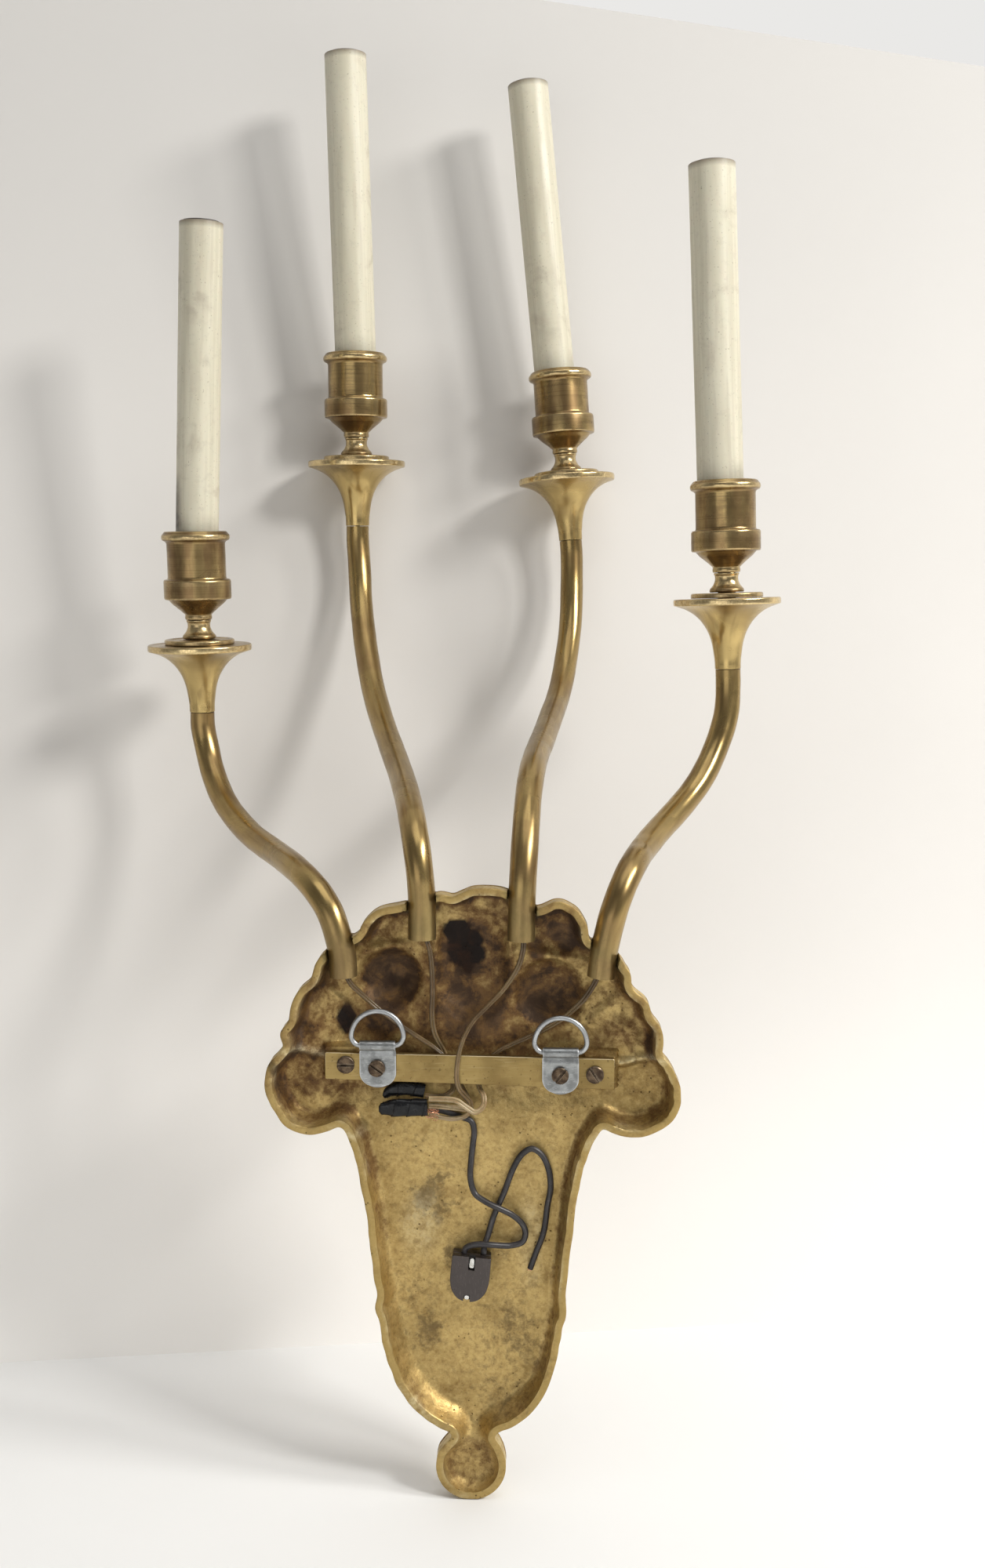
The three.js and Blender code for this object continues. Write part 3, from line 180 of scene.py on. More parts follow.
# ------------------------------------------------------------------ node helpers
class Mat:
    def __init__(self, name):
        self.m = bpy.data.materials.new(name)
        self.m.use_nodes = True
        self.t = self.m.node_tree
        self.t.nodes.clear()
        self.out = self.t.nodes.new("ShaderNodeOutputMaterial")
        self.b = self.t.nodes.new("ShaderNodeBsdfPrincipled")
        self.t.links.new(self.b.outputs[0], self.out.inputs[0])
        self.coord = self.t.nodes.new("ShaderNodeTexCoord").outputs["Object"]

    def put(self, sock, v):
        if isinstance(v, bpy.types.NodeSocket):
            self.t.links.new(v, sock)
        elif v is not None:
            if isinstance(v, (tuple, list)) and len(v) == 3 and sock.type == "RGBA":
                v = (*v, 1)
            sock.default_value = v

    def set(self, **k):
        names = dict(color="Base Color", metal="Metallic", rough="Roughness", normal="Normal", coat="Coat Weight",
                     coat_rough="Coat Roughness", spec="Specular IOR Level", ior="IOR", sss="Subsurface Weight",
                     sss_scale="Subsurface Scale", aniso="Anisotropic", trans="Transmission Weight")
        for n, v in k.items():
            self.put(self.b.inputs[names[n]], v)
        return self

    def attr(self, name, vec=False):
        n = self.t.nodes.new("ShaderNodeAttribute")
        n.attribute_name = name
        return n.outputs["Vector"] if vec else n.outputs["Fac"]

    def noise(self, scale, detail=4.0, rough=0.55, vec=None, distort=0.0, ramp=None):
        n = self.t.nodes.new("ShaderNodeTexNoise")
        self.put(n.inputs["Vector"], vec if vec is not None else self.coord)
        n.inputs["Scale"].default_value = scale
        n.inputs["Detail"].default_value = detail
        n.inputs["Roughness"].default_value = rough
        n.inputs["Distortion"].default_value = distort
        o = n.outputs["Fac"]
        return self.range(o, *ramp) if ramp else o

    def voronoi(self, scale, vec=None, feature="F1", ramp=None):
        n = self.t.nodes.new("ShaderNodeTexVoronoi")
        n.feature = feature
        self.put(n.inputs["Vector"], vec if vec is not None else self.coord)
        n.inputs["Scale"].default_value = scale
        o = n.outputs["Distance"]
        return self.range(o, *ramp) if ramp else o

    def stretch(self, sx, sy, sz, vec=None, loc=(0, 0, 0), rot=(0, 0, 0)):
        n = self.t.nodes.new("ShaderNodeMapping")
        self.put(n.inputs["Vector"], vec if vec is not None else self.coord)
        n.inputs["Scale"].default_value = (sx, sy, sz)
        n.inputs["Location"].default_value = loc
        n.inputs["Rotation"].default_value = rot
        return n.outputs[0]

    def range(self, v, a, b, c=0.0, d=1.0):
        n = self.t.nodes.new("ShaderNodeMapRange")
        n.interpolation_type = "SMOOTHSTEP"
        self.put(n.inputs[0], v)
        for i, x in enumerate((a, b, c, d)):
            n.inputs[i + 1].default_value = x
        return n.outputs[0]

    def math(self, op, a, b=0.0, c=None, clamp=False):
        n = self.t.nodes.new("ShaderNodeMath")
        n.operation = op
        n.use_clamp = clamp
        self.put(n.inputs[0], a)
        self.put(n.inputs[1], b)
        if c is not None:
            self.put(n.inputs[2], c)
        return n.outputs[0]

    def mul(self, a, b):
        return self.math("MULTIPLY", a, b)

    def mix(self, f, a, b, mode="MIX"):
        n = self.t.nodes.new("ShaderNodeMix")
        n.data_type = "RGBA"
        n.blend_type = mode
        self.put(n.inputs[0], f)
        self.put(n.inputs[6], a)
        self.put(n.inputs[7], b)
        return n.outputs[2]

    def bump(self, height, dist, strength=1.0, normal=None):
        n = self.t.nodes.new("ShaderNodeBump")
        n.inputs["Strength"].default_value = strength
        n.inputs["Distance"].default_value = dist
        self.put(n.inputs["Height"], height)
        if normal is not None:
            self.put(n.inputs["Normal"], normal)
        return n.outputs[0]

    def sep(self, vec=None):
        n = self.t.nodes.new("ShaderNodeSeparateXYZ")
        self.put(n.inputs[0], vec if vec is not None else self.coord)
        return n.outputs


def srgb(r, g, b):
    return tuple((c / 255 / 12.92) if c / 255 <= 0.04045 else ((c / 255 + 0.055) / 1.055) ** 2.4 for c in (r, g, b))


# ------------------------------------------------------------------ mesh helpers
def build(name, verts, faces, mat, body="root", replaces=(), angle=38, attrs=None, scale=MM):
    me = bpy.data.meshes.new(name)
    v = np.asarray(verts, float) * scale
    me.from_pydata(v.tolist(), [], [tuple(int(i) for i in f) for f in faces])
    me.validate()
    me.polygons.foreach_set("use_smooth", [True] * len(me.polygons))
    if attrs and len(me.vertices) == len(v):
        for k, a in attrs.items():
            a = np.asarray(a, np.float32)
            if a.ndim == 1:
                me.attributes.new(k, "FLOAT", "POINT").data.foreach_set("value", a)
            else:
                me.attributes.new(k, "FLOAT_VECTOR", "POINT").data.foreach_set("vector", a.ravel())
    bm = bmesh.new()
    bm.from_mesh(me)
    bmesh.ops.recalc_face_normals(bm, faces=bm.faces)
    if bm.calc_volume(signed=True) < 0:
        bmesh.ops.reverse_faces(bm, faces=bm.faces)
    bm.to_mesh(me)
    bm.free()
    me.set_sharp_from_angle(angle=math.radians(angle))
    o = bpy.data.objects.new(name, me)
    bpy.context.scene.collection.objects.link(o)
    o.data.materials.append(mat)
    finish_piece(o, body, replaces)
    return o


def finish_piece(o, body, replaces):
    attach(o, body)
    if replaces:
        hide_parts(*([replaces] if isinstance(replaces, str) else replaces))


def fillet(pts, r, n=3, closed=True):
    out = []
    N = len(pts)
    for i, p in enumerate(pts):
        p = np.array(p[:2], float)
        rr = pts[i][2] if len(pts[i]) > 2 else r
        if (not closed and i in (0, N - 1)) or rr <= 0:
            out.append(p)
            continue
        a, b = np.array(pts[i - 1][:2], float), np.array(pts[(i + 1) % N][:2], float)
        la, lb = np.linalg.norm(a - p), np.linalg.norm(b - p)
        d = min(rr, 0.45 * la, 0.45 * lb)
        p1, p2 = p + (a - p) / la * d, p + (b - p) / lb * d
        for k in range(n + 1):
            t = k / n
            out.append((1 - t) ** 2 * p1 + 2 * t * (1 - t) * p + t * t * p2)
    return np.array(out)


def frame_of(axis):
    z = np.array(axis, float)
    z /= np.linalg.norm(z)
    x = np.array([1.0, 0, 0]) if abs(z[0]) < 0.9 else np.array([0, 1.0, 0])
    y = np.cross(z, x)
    y /= np.linalg.norm(y)
    x = np.cross(y, z)
    return np.stack([x, y, z], 1)


def lathe(profile, seg, origin=(0, 0, 0), axis=(0, 0, 1), wobble=None):
    """Closed section [r, h] turned round axis; returns vertices and faces. A point with r = 0 becomes one pole."""
    F = frame_of(axis)
    o = np.array(origin, float)
    V, ring, faces = [], [], []
    t = np.arange(seg) / seg * 2 * np.pi
    for r, h in profile:
        if r < 1e-6:
            ring.append([len(V)])
            V.append([0, 0, h])
        else:
            ring.append(list(range(len(V), len(V) + seg)))
            rr = r + (wobble(t, h, r) if wobble else 0)
            V += np.stack([rr * np.cos(t), rr * np.sin(t), np.full(seg, h)], 1).tolist()
    n = len(profile)
    for i in range(n):
        a, b = ring[i], ring[(i + 1) % n]
        if len(a) == 1 and len(b) == 1:
            continue
        for s in range(seg):
            s2 = (s + 1) % seg
            if len(a) == 1:
                faces.append((a[0], b[s2], b[s]))
            elif len(b) == 1:
                faces.append((a[s], a[s2], b[0]))
            else:
                faces.append((a[s], a[s2], b[s2], b[s]))
    V = np.array(V) @ F.T + o
    return V, faces


def catmull(P, n, closed=False):
    """Centripetal Catmull-Rom through P, n points evenly spaced along it."""
    P = np.array(P, float)
    N = len(P)
    out = []
    segs = N if closed else N - 1
    for i in range(segs):
        p1, p2 = P[i % N], P[(i + 1) % N]
        p0 = P[(i - 1) % N] if (closed or i > 0) else 2 * P[0] - P[1]
        p3 = P[(i + 2) % N] if (closed or i + 2 < N) else 2 * P[-1] - P[-2]
        d0, d1, d2 = [max(np.linalg.norm(b - a), 1e-6) ** 0.5 for a, b in ((p0, p1), (p1, p2), (p2, p3))]
        t1 = (p1 - p0) / d0 - (p2 - p0) / (d0 + d1) + (p2 - p1) / d1
        t2 = (p2 - p1) / d1 - (p3 - p1) / (d1 + d2) + (p3 - p2) / d2
        t1, t2 = t1 * d1, t2 * d1
        u = np.linspace(0, 1, 24, endpoint=False)[:, None]
        c2, c3 = -3 * p1 + 3 * p2 - 2 * t1 - t2, 2 * p1 - 2 * p2 + t1 + t2
        out.append(p1 + t1 * u + c2 * u ** 2 + c3 * u ** 3)
    out = np.concatenate(out + [P[:1] if closed else P[-1:]])
    s = np.r_[0, np.cumsum(np.linalg.norm(np.diff(out, axis=0), axis=1))]
    at = np.linspace(0, s[-1], n + 1 if closed else n)
    if closed:
        at = at[:-1]
    return np.stack([np.interp(at, s, out[:, k]) for k in range(3)], 1), s[-1]


def frames(path, closed=False, up=None):
    n = len(path)
    T = np.roll(path, -1, 0) - np.roll(path, 1, 0)
    if not closed:
        T[0], T[-1] = path[1] - path[0], path[-1] - path[-2]
    T /= np.linalg.norm(T, axis=1)[:, None]
    A = np.zeros((n, 3))
    v = np.array(up if up is not None else [0.1, 1.0, 0.15], float)
    for i in range(n):
        v = v - (v @ T[i]) * T[i]
        v /= np.linalg.norm(v)
        A[i] = v
    return T, A, np.cross(T, A)


def tube(path, radius, sides=24, closed=False, up=None, section=None, cap=True, bore=None, dome=0.0):
    """Vertices, faces and (u, angle) of a tube. section: [n, 2] unit section; radius: number or one per ring. bore makes a hollow end at the start, bore[0] its radius and bore[1] its depth in rings."""
    path = np.array(path, float)
    n = len(path)
    R = np.broadcast_to(np.asarray(radius, float), (n,)).copy()
    T, A, B = frames(path, closed, up)
    if section is None:
        t = np.arange(sides) / sides * 2 * np.pi
        section = np.stack([np.cos(t), np.sin(t)], 1)
    S = len(section)
    rings = [path[i] + R[i] * (section[:, :1] * A[i] + section[:, 1:] * B[i]) for i in range(n)]
    s = np.r_[0, np.cumsum(np.linalg.norm(np.diff(path, axis=0), axis=1))]
    uv = [np.stack([section[:, 0] * R[i], section[:, 1] * R[i], np.full(S, s[i])], 1) for i in range(n)]
    if not closed and dome > 0:
        for end, i, sg in ((0, 0, -1), (1, n - 1, 1)):
            extra, eu = [], []
            for k in (1, 2, 3):
                a = k / 3.4 * math.pi / 2
                extra.append(path[i] + sg * T[i] * dome * math.sin(a) + R[i] * math.cos(a) * (section[:, :1] * A[i] + section[:, 1:] * B[i]))
                eu.append(uv[i])
            if end == 0:
                rings, uv = extra[::-1] + rings, eu[::-1] + uv
            else:
                rings, uv = rings + extra, uv + eu
    faces = []
    m = len(rings)
    if bore is not None:
        inner = []
        for i in range(bore[1], -1, -1):
            inner.append(path[i] + bore[0] * (section[:, :1] * A[i] + section[:, 1:] * B[i]))
        lip = [path[0] + (bore[0] + 0.25) * (section[:, :1] * A[0] + section[:, 1:] * B[0]) - 0.0 * T[0]]
        rings = inner + lip + rings
        uv = [np.stack([section[:, 0] * bore[0], section[:, 1] * bore[0], np.full(S, 0.0)], 1)] * (len(inner) + 1) + uv
        m = len(rings)
    for i in range(m if closed else m - 1):
        a, b = i * S, ((i + 1) % m) * S
        for k in range(S):
            k2 = (k + 1) % S
            faces.append((a + k, a + k2, b + k2, b + k))
    if not closed and cap:
        faces.append(tuple(range(S - 1, -1, -1)))
        faces.append(tuple(range((m - 1) * S, m * S)))
    return np.concatenate(rings), faces, np.concatenate(uv)


def smooth(x, a, b):
    t = np.clip((x - a) / (b - a), 0, 1)
    return t * t * (3 - 2 * t)


# smooth value noise in two or three dimensions, repeatable
_P = rng.random((64, 64, 64))


def vnoise(p, scale, octaves=3, gain=0.5):
    p = np.asarray(p, float)
    if p.shape[1] == 2:
        p = np.c_[p, np.zeros(len(p))]
    out, amp, tot = np.zeros(len(p)), 1.0, 0.0
    for o in range(octaves):
        q = p / scale * (2 ** o) + 17.3 * (o + 1)
        i = np.floor(q).astype(int)
        f = q - i
        f = f * f * (3 - 2 * f)
        acc = 0
        for dx in (0, 1):
            for dy in (0, 1):
                for dz in (0, 1):
                    w = (f[:, 0] if dx else 1 - f[:, 0]) * (f[:, 1] if dy else 1 - f[:, 1]) * (f[:, 2] if dz else 1 - f[:, 2])
                    acc = acc + w * _P[(i[:, 0] + dx) % 64, (i[:, 1] + dy) % 64, (i[:, 2] + dz) % 64]
        out += amp * (acc - 0.5)
        tot += amp
        amp *= gain
    return out / tot * 2


def boolean(o, cutter, op="DIFFERENCE"):
    m = o.modifiers.new("cut", "BOOLEAN")
    m.operation, m.object, m.solver = op, cutter, "EXACT"
    dg = bpy.context.evaluated_depsgraph_get()
    me = bpy.data.meshes.new_from_object(o.evaluated_get(dg))
    o.modifiers.clear()
    old = o.data
    o.data = me
    bpy.data.meshes.remove(old)
    bpy.data.objects.remove(cutter)
    me.polygons.foreach_set("use_smooth", [True] * len(me.polygons))
    me.set_sharp_from_angle(angle=math.radians(35))
    return o


def raw(name, verts, faces):
    me = bpy.data.meshes.new(name)
    me.from_pydata((np.asarray(verts, float) * MM).tolist(), [], [tuple(int(i) for i in f) for f in faces])
    bm = bmesh.new()
    bm.from_mesh(me)
    bmesh.ops.recalc_face_normals(bm, faces=bm.faces)
    bm.to_mesh(me)
    bm.free()
    o = bpy.data.objects.new(name, me)
    bpy.context.scene.collection.objects.link(o)
    return o


# ------------------------------------------------------------------ camera
cam_data = bpy.data.cameras.new("camera")
cam_data.lens, cam_data.sensor_width = 37.8, 36.0
cam = bpy.data.objects.new("camera", cam_data)
bpy.context.scene.collection.objects.link(cam)
th, psi = math.atan(240 / 2100), math.radians(1.5)
fwd = Vector((math.sin(psi) * math.cos(th), -math.cos(psi) * math.cos(th), -math.sin(th)))
right = Vector((-math.cos(psi), -math.sin(psi), 0))
up = right.cross(fwd)
CAM = Vector((-0.032296, 0.820741, 0.211424))
cam.matrix_world = Matrix(((right.x, up.x, -fwd.x, CAM.x), (right.y, up.y, -fwd.y, CAM.y), (right.z, up.z, -fwd.z, CAM.z), (0, 0, 0, 1)))
cam_data.clip_start, cam_data.clip_end = 0.01, 20
bpy.context.scene.camera = cam

# ------------------------------------------------------------------ finishes
GOLD, OLIVE, BROWN, DARK = (0.55, 0.395, 0.155), (0.40, 0.280, 0.105), (0.165, 0.084, 0.024), (0.045, 0.021, 0.007)


def make_cast_brass():
    m = Mat("cast_brass")
    tarnish_and_shade, sheen_and_wear, pitch, rim, grime, front = (m.attr(k) for k in ("tarnish_and_shade", "sheen_and_wear", "pitch", "rim", "grime", "front"))
    stain = m.attr("stain")
    broad = m.noise(26, 3, 0.55)
    cloud = m.noise(85, 6, 0.66, distort=0.5)
    grain = m.noise(420, 5, 0.65)
    fine = m.noise(1500, 3, 0.6)
    c = m.mix(m.range(broad, 0.36, 0.66), GOLD, OLIVE)
    c = m.mix(m.mul(m.range(cloud, 0.50, 0.74), 0.36), c, BROWN)
    c = m.mix(m.mul(m.range(grain, 0.50, 0.72), 0.45), c, (0.22, 0.125, 0.04))
    c = m.mix(m.mul(m.range(grain, 0.52, 0.30), 0.40), c, (0.66, 0.50, 0.22))
    mott = m.noise(240, 6, 0.72, distort=0.25)
    c = m.mix(m.mul(m.range(mott, 0.50, 0.66), 0.42), c, (0.19, 0.125, 0.050))
    c = m.mix(m.mul(m.range(m.noise(900, 4, 0.7), 0.56, 0.70), 0.40), c, (0.115, 0.070, 0.030))
    # dark stains with broken edges on the stem
    blot = m.mul(m.math("ADD", stain, m.range(m.noise(230, 6, 0.7, distort=0.3), 0.30, 0.70, -0.35, 0.35)), m.range(stain, 0.02, 0.3))
    c = m.mix(m.mul(m.range(blot, 0.15, 0.95), 0.75), c, (0.125, 0.085, 0.040))
    # tarnish gathers in the hollows; the same mask carries painted shade on the inner walls and on the side away from
    # the key light
    d = m.math("ADD", tarnish_and_shade, m.mul(m.range(cloud, 0.3, 0.7, -0.20, 0.20), m.range(tarnish_and_shade, 0.0, 0.25)))
    d = m.math("ADD", d, m.mul(m.range(mott, 0.3, 0.7, -0.16, 0.16), m.range(tarnish_and_shade, 0.0, 0.25)), clamp=True)
    c = m.mix(m.range(d, 0.1, 0.75), c, BROWN)
    c = m.mix(m.mul(m.range(d, 0.60, 1.0), m.range(cloud, 0.34, 0.62, 0.45, 1.0)), c, DARK)
    # rim tone, then painted highlights: sheen on the lower stem wall, bright ridges and rim edge; on the outer face the
    # same mask marks rubbed high spots
    c = m.mix(m.mul(rim, m.range(cloud, 0.34, 0.62, 0.85, 0.35)), c, (0.38, 0.268, 0.095))
    c = m.mix(m.mul(sheen_and_wear, m.range(mott, 0.36, 0.60, 1.0, 0.25)), c, (0.80, 0.72, 0.47))
    c = m.mix(m.mul(grime, m.range(grain, 0.38, 0.6, 0.3, 0.9)), c, (0.12, 0.105, 0.042))
    # outer face: old lacquer with bare high spots
    outer = m.mix(m.range(cloud, 0.40, 0.68), (0.62, 0.44, 0.17), (0.34, 0.21, 0.075))
    c = m.mix(front, c, outer)
    c = m.mix(m.mul(front, m.mul(tarnish_and_shade, 0.8)), c, (0.09, 0.055, 0.022))
    # casting pits
    pits = m.voronoi(330, ramp=(0.22, 0.05))
    spots = m.mul(pits, m.range(m.noise(60, 2), 0.5, 0.62))
    c = m.mix(m.mul(spots, 0.8), c, DARK)
    c = m.mix(pitch, c, m.mix(m.range(cloud, 0.4, 0.65), (0.012, 0.007, 0.005), (0.034, 0.016, 0.009)))
    rough = m.range(cloud, 0.35, 0.68, 0.36, 0.58)
    rough = m.math("ADD", rough, m.mul(d, 0.14))
    rough = m.math("ADD", rough, m.mul(sheen_and_wear, 0.06))
    rough = m.math("SUBTRACT", rough, m.mul(m.mul(pitch, m.range(cloud, .4, .6)), 0.05))
    metal = m.math("SUBTRACT", 0.82, m.mul(m.math("MAXIMUM", d, pitch), 0.62), clamp=True)
    n = m.bump(cloud, 0.0006, 0.5)
    n = m.bump(mott, 0.0004, 0.45, n)
    n = m.bump(grain, 0.00022, 0.65, n)
    n = m.bump(fine, 0.00007, 0.5, n)
    n = m.bump(spots, -0.0003, 0.7, n)
    m.set(color=c, metal=metal, rough=rough, normal=n, spec=m.math("SUBTRACT", 0.42, m.mul(pitch, 0.25)))
    return m.m


def tube_coords(m):
    v = m.attr("tuv", vec=True)
    return v


def make_tube_brass():
    m = Mat("tube_brass")
    v = m.attr("tuv", vec=True)
    long = m.noise(0.22, 4, 0.6, m.stretch(1, 1, 0.10, v))
    streak = m.noise(0.55, 5, 0.62, m.stretch(1, 1, 0.05, v))
    cloud = m.noise(60, 5, 0.62, distort=0.4)
    patch = m.noise(24, 4, 0.6, distort=0.8)
    grain = m.noise(650, 4, 0.6)
    grime = m.attr("grime")
    c = m.mix(m.range(long, 0.36, 0.66), (0.40, 0.285, 0.115), (0.285, 0.195, 0.080))
    c = m.mix(m.mul(m.range(streak, 0.52, 0.74), 0.28), c, (0.20, 0.115, 0.045))
    c = m.mix(m.mul(m.range(patch, 0.48, 0.66), m.range(cloud, 0.40, 0.64, 0.25, 0.50)), c, (0.25, 0.150, 0.072))
    c = m.mix(m.mul(m.range(cloud, 0.54, 0.70), 0.22), c, (0.15, 0.10, 0.042))
    c = m.mix(m.mul(m.range(grain, 0.60, 0.74), 0.32), c, (0.13, 0.085, 0.040))
    c = m.mix(m.mul(grime, m.range(cloud, 0.36, 0.6, 0.25, 0.9)), c, (0.12, 0.105, 0.042))
    rough = m.math("ADD", m.range(patch, 0.34, 0.66, 0.23, 0.33), m.mul(grime, 0.2))
    n = m.bump(streak, 0.000025, 0.3)
    n = m.bump(grain, 0.00002, 0.3, n)
    m.set(color=c, metal=m.math("SUBTRACT", 0.96, m.mul(grime, 0.5)), rough=rough, normal=n)
    return m.m


def make_turned_brass():
    m = Mat("turned_brass")
    v = m.attr("tuv", vec=True)          # radius, height, angle
    s = m.sep(v)
    around = m.noise(1.0, 3, 0.6, m.stretch(0.02, 2.0, 0.02, v))
    drip = m.noise(0.13, 3, 0.5, m.stretch(1, 0.35, 1, v), distort=0.6)
    cloud = m.noise(85, 5, 0.62, distort=0.4)
    patch = m.noise(30, 3, 0.55, distort=0.5)
    grain = m.noise(800, 4, 0.6)
    edge, under = m.attr("edge"), m.attr("under")
    c = m.mix(m.range(patch, 0.36, 0.64), (0.38, 0.262, 0.115), (0.22, 0.142, 0.066))
    band = m.noise(0.16, 3, 0.55, m.stretch(1, 0.12, 1, v))
    c = m.mix(m.mul(m.range(band, 0.42, 0.62), 0.55), c, (0.46, 0.345, 0.150))
    c = m.mix(m.mul(m.range(cloud, 0.46, 0.66), 0.40), c, (0.15, 0.092, 0.042))
    c = m.mix(m.mul(m.range(around, 0.5, 0.62), 0.35), c, (0.125, 0.076, 0.036))
    # the trumpet below the disc kept more of its colour, with dark runs
    gold = m.mix(m.mul(m.range(patch, 0.44, 0.66), 0.55), (0.56, 0.415, 0.170), (0.30, 0.205, 0.085))
    gold = m.mix(m.mul(m.range(drip, 0.52, 0.70), 0.40), gold, (0.19, 0.125, 0.055))
    c = m.mix(m.mul(under, 0.85), c, gold)
    c = m.mix(m.mul(edge, m.range(grain, 0.34, 0.6, 0.95, 0.5)), c, (0.80, 0.63, 0.34))
    c = m.mix(m.mul(m.range(grain, 0.62, 0.76), 0.30), c, (0.09, 0.058, 0.030))
    rough = m.range(patch, 0.34, 0.66, 0.22, 0.34)
    rough = m.math("SUBTRACT", rough, m.mul(edge, 0.06))
    n = m.bump(around, 0.00004, 0.45)
    n = m.bump(grain, 0.00002, 0.35, n)
    m.set(color=c, metal=0.92, rough=rough, normal=n)
    return m.m


def make_bar_brass():
    m = Mat("bar_brass")
    grain = m.noise(1.0, 4, 0.6, m.stretch(60, 400, 1500))
    cloud = m.noise(90, 4, 0.6)
    patch = m.noise(34, 3, 0.6)
    spot = m.noise(520, 3, 0.5)
    scr = m.noise(1.0, 3, 0.5, m.stretch(90, 1500, 1500, rot=(0, 0.05, 0)))
    c = m.mix(m.range(patch, 0.36, 0.64), (0.37, 0.265, 0.10), (0.235, 0.162, 0.058))
    c = m.mix(m.mul(m.range(cloud, 0.50, 0.68), 0.45), c, (0.25, 0.165, 0.06))
    c = m.mix(m.mul(m.range(grain, 0.54, 0.66), 0.45), c, (0.30, 0.20, 0.07))
    c = m.mix(m.mul(m.range(scr, 0.58, 0.74), 0.22), c, (0.60, 0.49, 0.26))
    c = m.mix(m.mul(m.range(spot, 0.60, 0.72), 0.6), c, (0.10, 0.06, 0.025))
    # painted highlight along the strap's upper back edge
    c = m.mix(m.mul(m.attr("edge"), 0.8), c, (0.85, 0.74, 0.50))
    n = m.bump(grain, 0.00006, 0.6)
    n = m.bump(scr, 0.00004, 0.5, n)
    m.set(color=c, metal=0.85, rough=m.range(cloud, 0.34, 0.66, 0.32, 0.48), normal=n)
    return m.m


def make_sleeve():
    m = Mat("candle_sleeve")
    v = m.attr("tuv", vec=True)          # radius, height, angle
    smudge = m.noise(1.0, 5, 0.62, m.stretch(0.05, 0.016, 1.3, v), distort=0.6)
    broad = m.noise(1.0, 3, 0.5, m.stretch(0.02, 0.010, 0.45, v))
    cloud = m.noise(38, 5, 0.6, distort=0.5)
    fine = m.noise(240, 4, 0.6)
    speck = m.noise(900, 2, 0.5)
    c = m.mix(m.range(broad, 0.34, 0.66), (0.63, 0.59, 0.465), (0.55, 0.512, 0.395))
    c = m.mix(m.mul(m.range(smudge, 0.50, 0.70), 0.38), c, (0.46, 0.41, 0.32))
    c = m.mix(m.mul(m.range(cloud, 0.55, 0.74), 0.5), c, (0.33, 0.28, 0.215))
    c = m.mix(m.mul(m.range(fine, 0.54, 0.7), 0.22), c, (0.40, 0.36, 0.29))
    c = m.mix(m.mul(m.range(speck, 0.66, 0.75), 0.6), c, (0.20, 0.16, 0.11))
    c = m.mix(m.attr("soot"), c, m.mix(m.range(fine, 0.4, 0.6), (0.07, 0.06, 0.048), (0.16, 0.135, 0.10)))
    c = m.mix(m.mul(m.attr("edge"), 0.75), c, (0.10, 0.07, 0.045))
    n = m.bump(smudge, 0.00008, 0.5)
    n = m.bump(fine, 0.00004, 0.5, n)
    m.set(color=c, rough=m.range(cloud, 0.35, 0.65, 0.36, 0.52), normal=n, spec=0.4, sss=0.06, sss_scale=0.004)
    return m.m


def make_holder():
    m = Mat("lampholder")
    cloud = m.noise(110, 4, 0.6)
    fine = m.noise(900, 3, 0.6)
    c = m.mix(m.range(cloud, 0.38, 0.62), (0.052, 0.043, 0.038), (0.027, 0.022, 0.020))
    c = m.mix(m.mul(m.range(fine, 0.52, 0.7), 0.5), c, (0.11, 0.092, 0.075))
    m.set(color=c, rough=m.range(cloud, 0.35, 0.65, 0.32, 0.55), normal=m.bump(fine, 0.00004, 0.5))
    return m.m


def make_contact():
    m = Mat("socket_brass")
    cloud = m.noise(160, 4, 0.6)
    fine = m.noise(1200, 3, 0.6)
    c = m.mix(m.range(cloud, 0.38, 0.62), (0.58, 0.45, 0.24), (0.30, 0.22, 0.12))
    c = m.mix(m.mul(m.range(fine, 0.52, 0.7), 0.5), c, (0.13, 0.09, 0.06))
    m.set(color=c, metal=0.9, rough=m.range(cloud, 0.35, 0.65, 0.3, 0.5), normal=m.bump(fine, 0.00004, 0.5))
    return m.m


def make_rod():
    m = Mat("threaded_rod")
    cloud = m.noise(120, 4, 0.6)
    z = m.math("FRACT", m.mul(m.sep()[2], 1000.0))
    thread = m.math("ABSOLUTE", m.math("SUBTRACT", z, 0.5))
    c = m.mix(m.range(cloud, 0.38, 0.62), (0.22, 0.17, 0.12), (0.10, 0.07, 0.05))
    m.set(color=c, metal=0.85, rough=0.42, normal=m.bump(thread, 0.0003, 0.8))
    return m.m


def make_clear_flex():
    m = Mat("clear_flex")
    v = m.attr("tuv", vec=True)
    core = m.attr("core")
    age = m.noise(34, 4, 0.6)
    run = m.noise(0.35, 4, 0.6, m.stretch(1, 1, 0.3, v))
    fine = m.noise(700, 3, 0.6)
    c = m.mix(m.range(age, 0.34, 0.64), (0.150, 0.098, 0.040), (0.080, 0.048, 0.019))
    c = m.mix(m.mul(m.range(run, 0.46, 0.66), 0.6), c, (0.21, 0.138, 0.064))
    c = m.mix(m.attr("clear"), c, m.mix(m.range(run, 0.4, 0.62), (0.43, 0.345, 0.195), (0.26, 0.185, 0.085)))
    c = m.mix(m.mul(core, 0.40), c, (0.32, 0.165, 0.085))
    c = m.mix(m.mul(m.range(fine, 0.56, 0.7), 0.4), c, (0.09, 0.06, 0.035))
    m.set(color=c, rough=m.range(age, 0.35, 0.65, 0.22, 0.40), normal=m.bump(run, 0.0001, 0.5), spec=0.4, coat=0.10,
          coat_rough=0.2, sss=0.08, sss_scale=0.002)
    return m.m


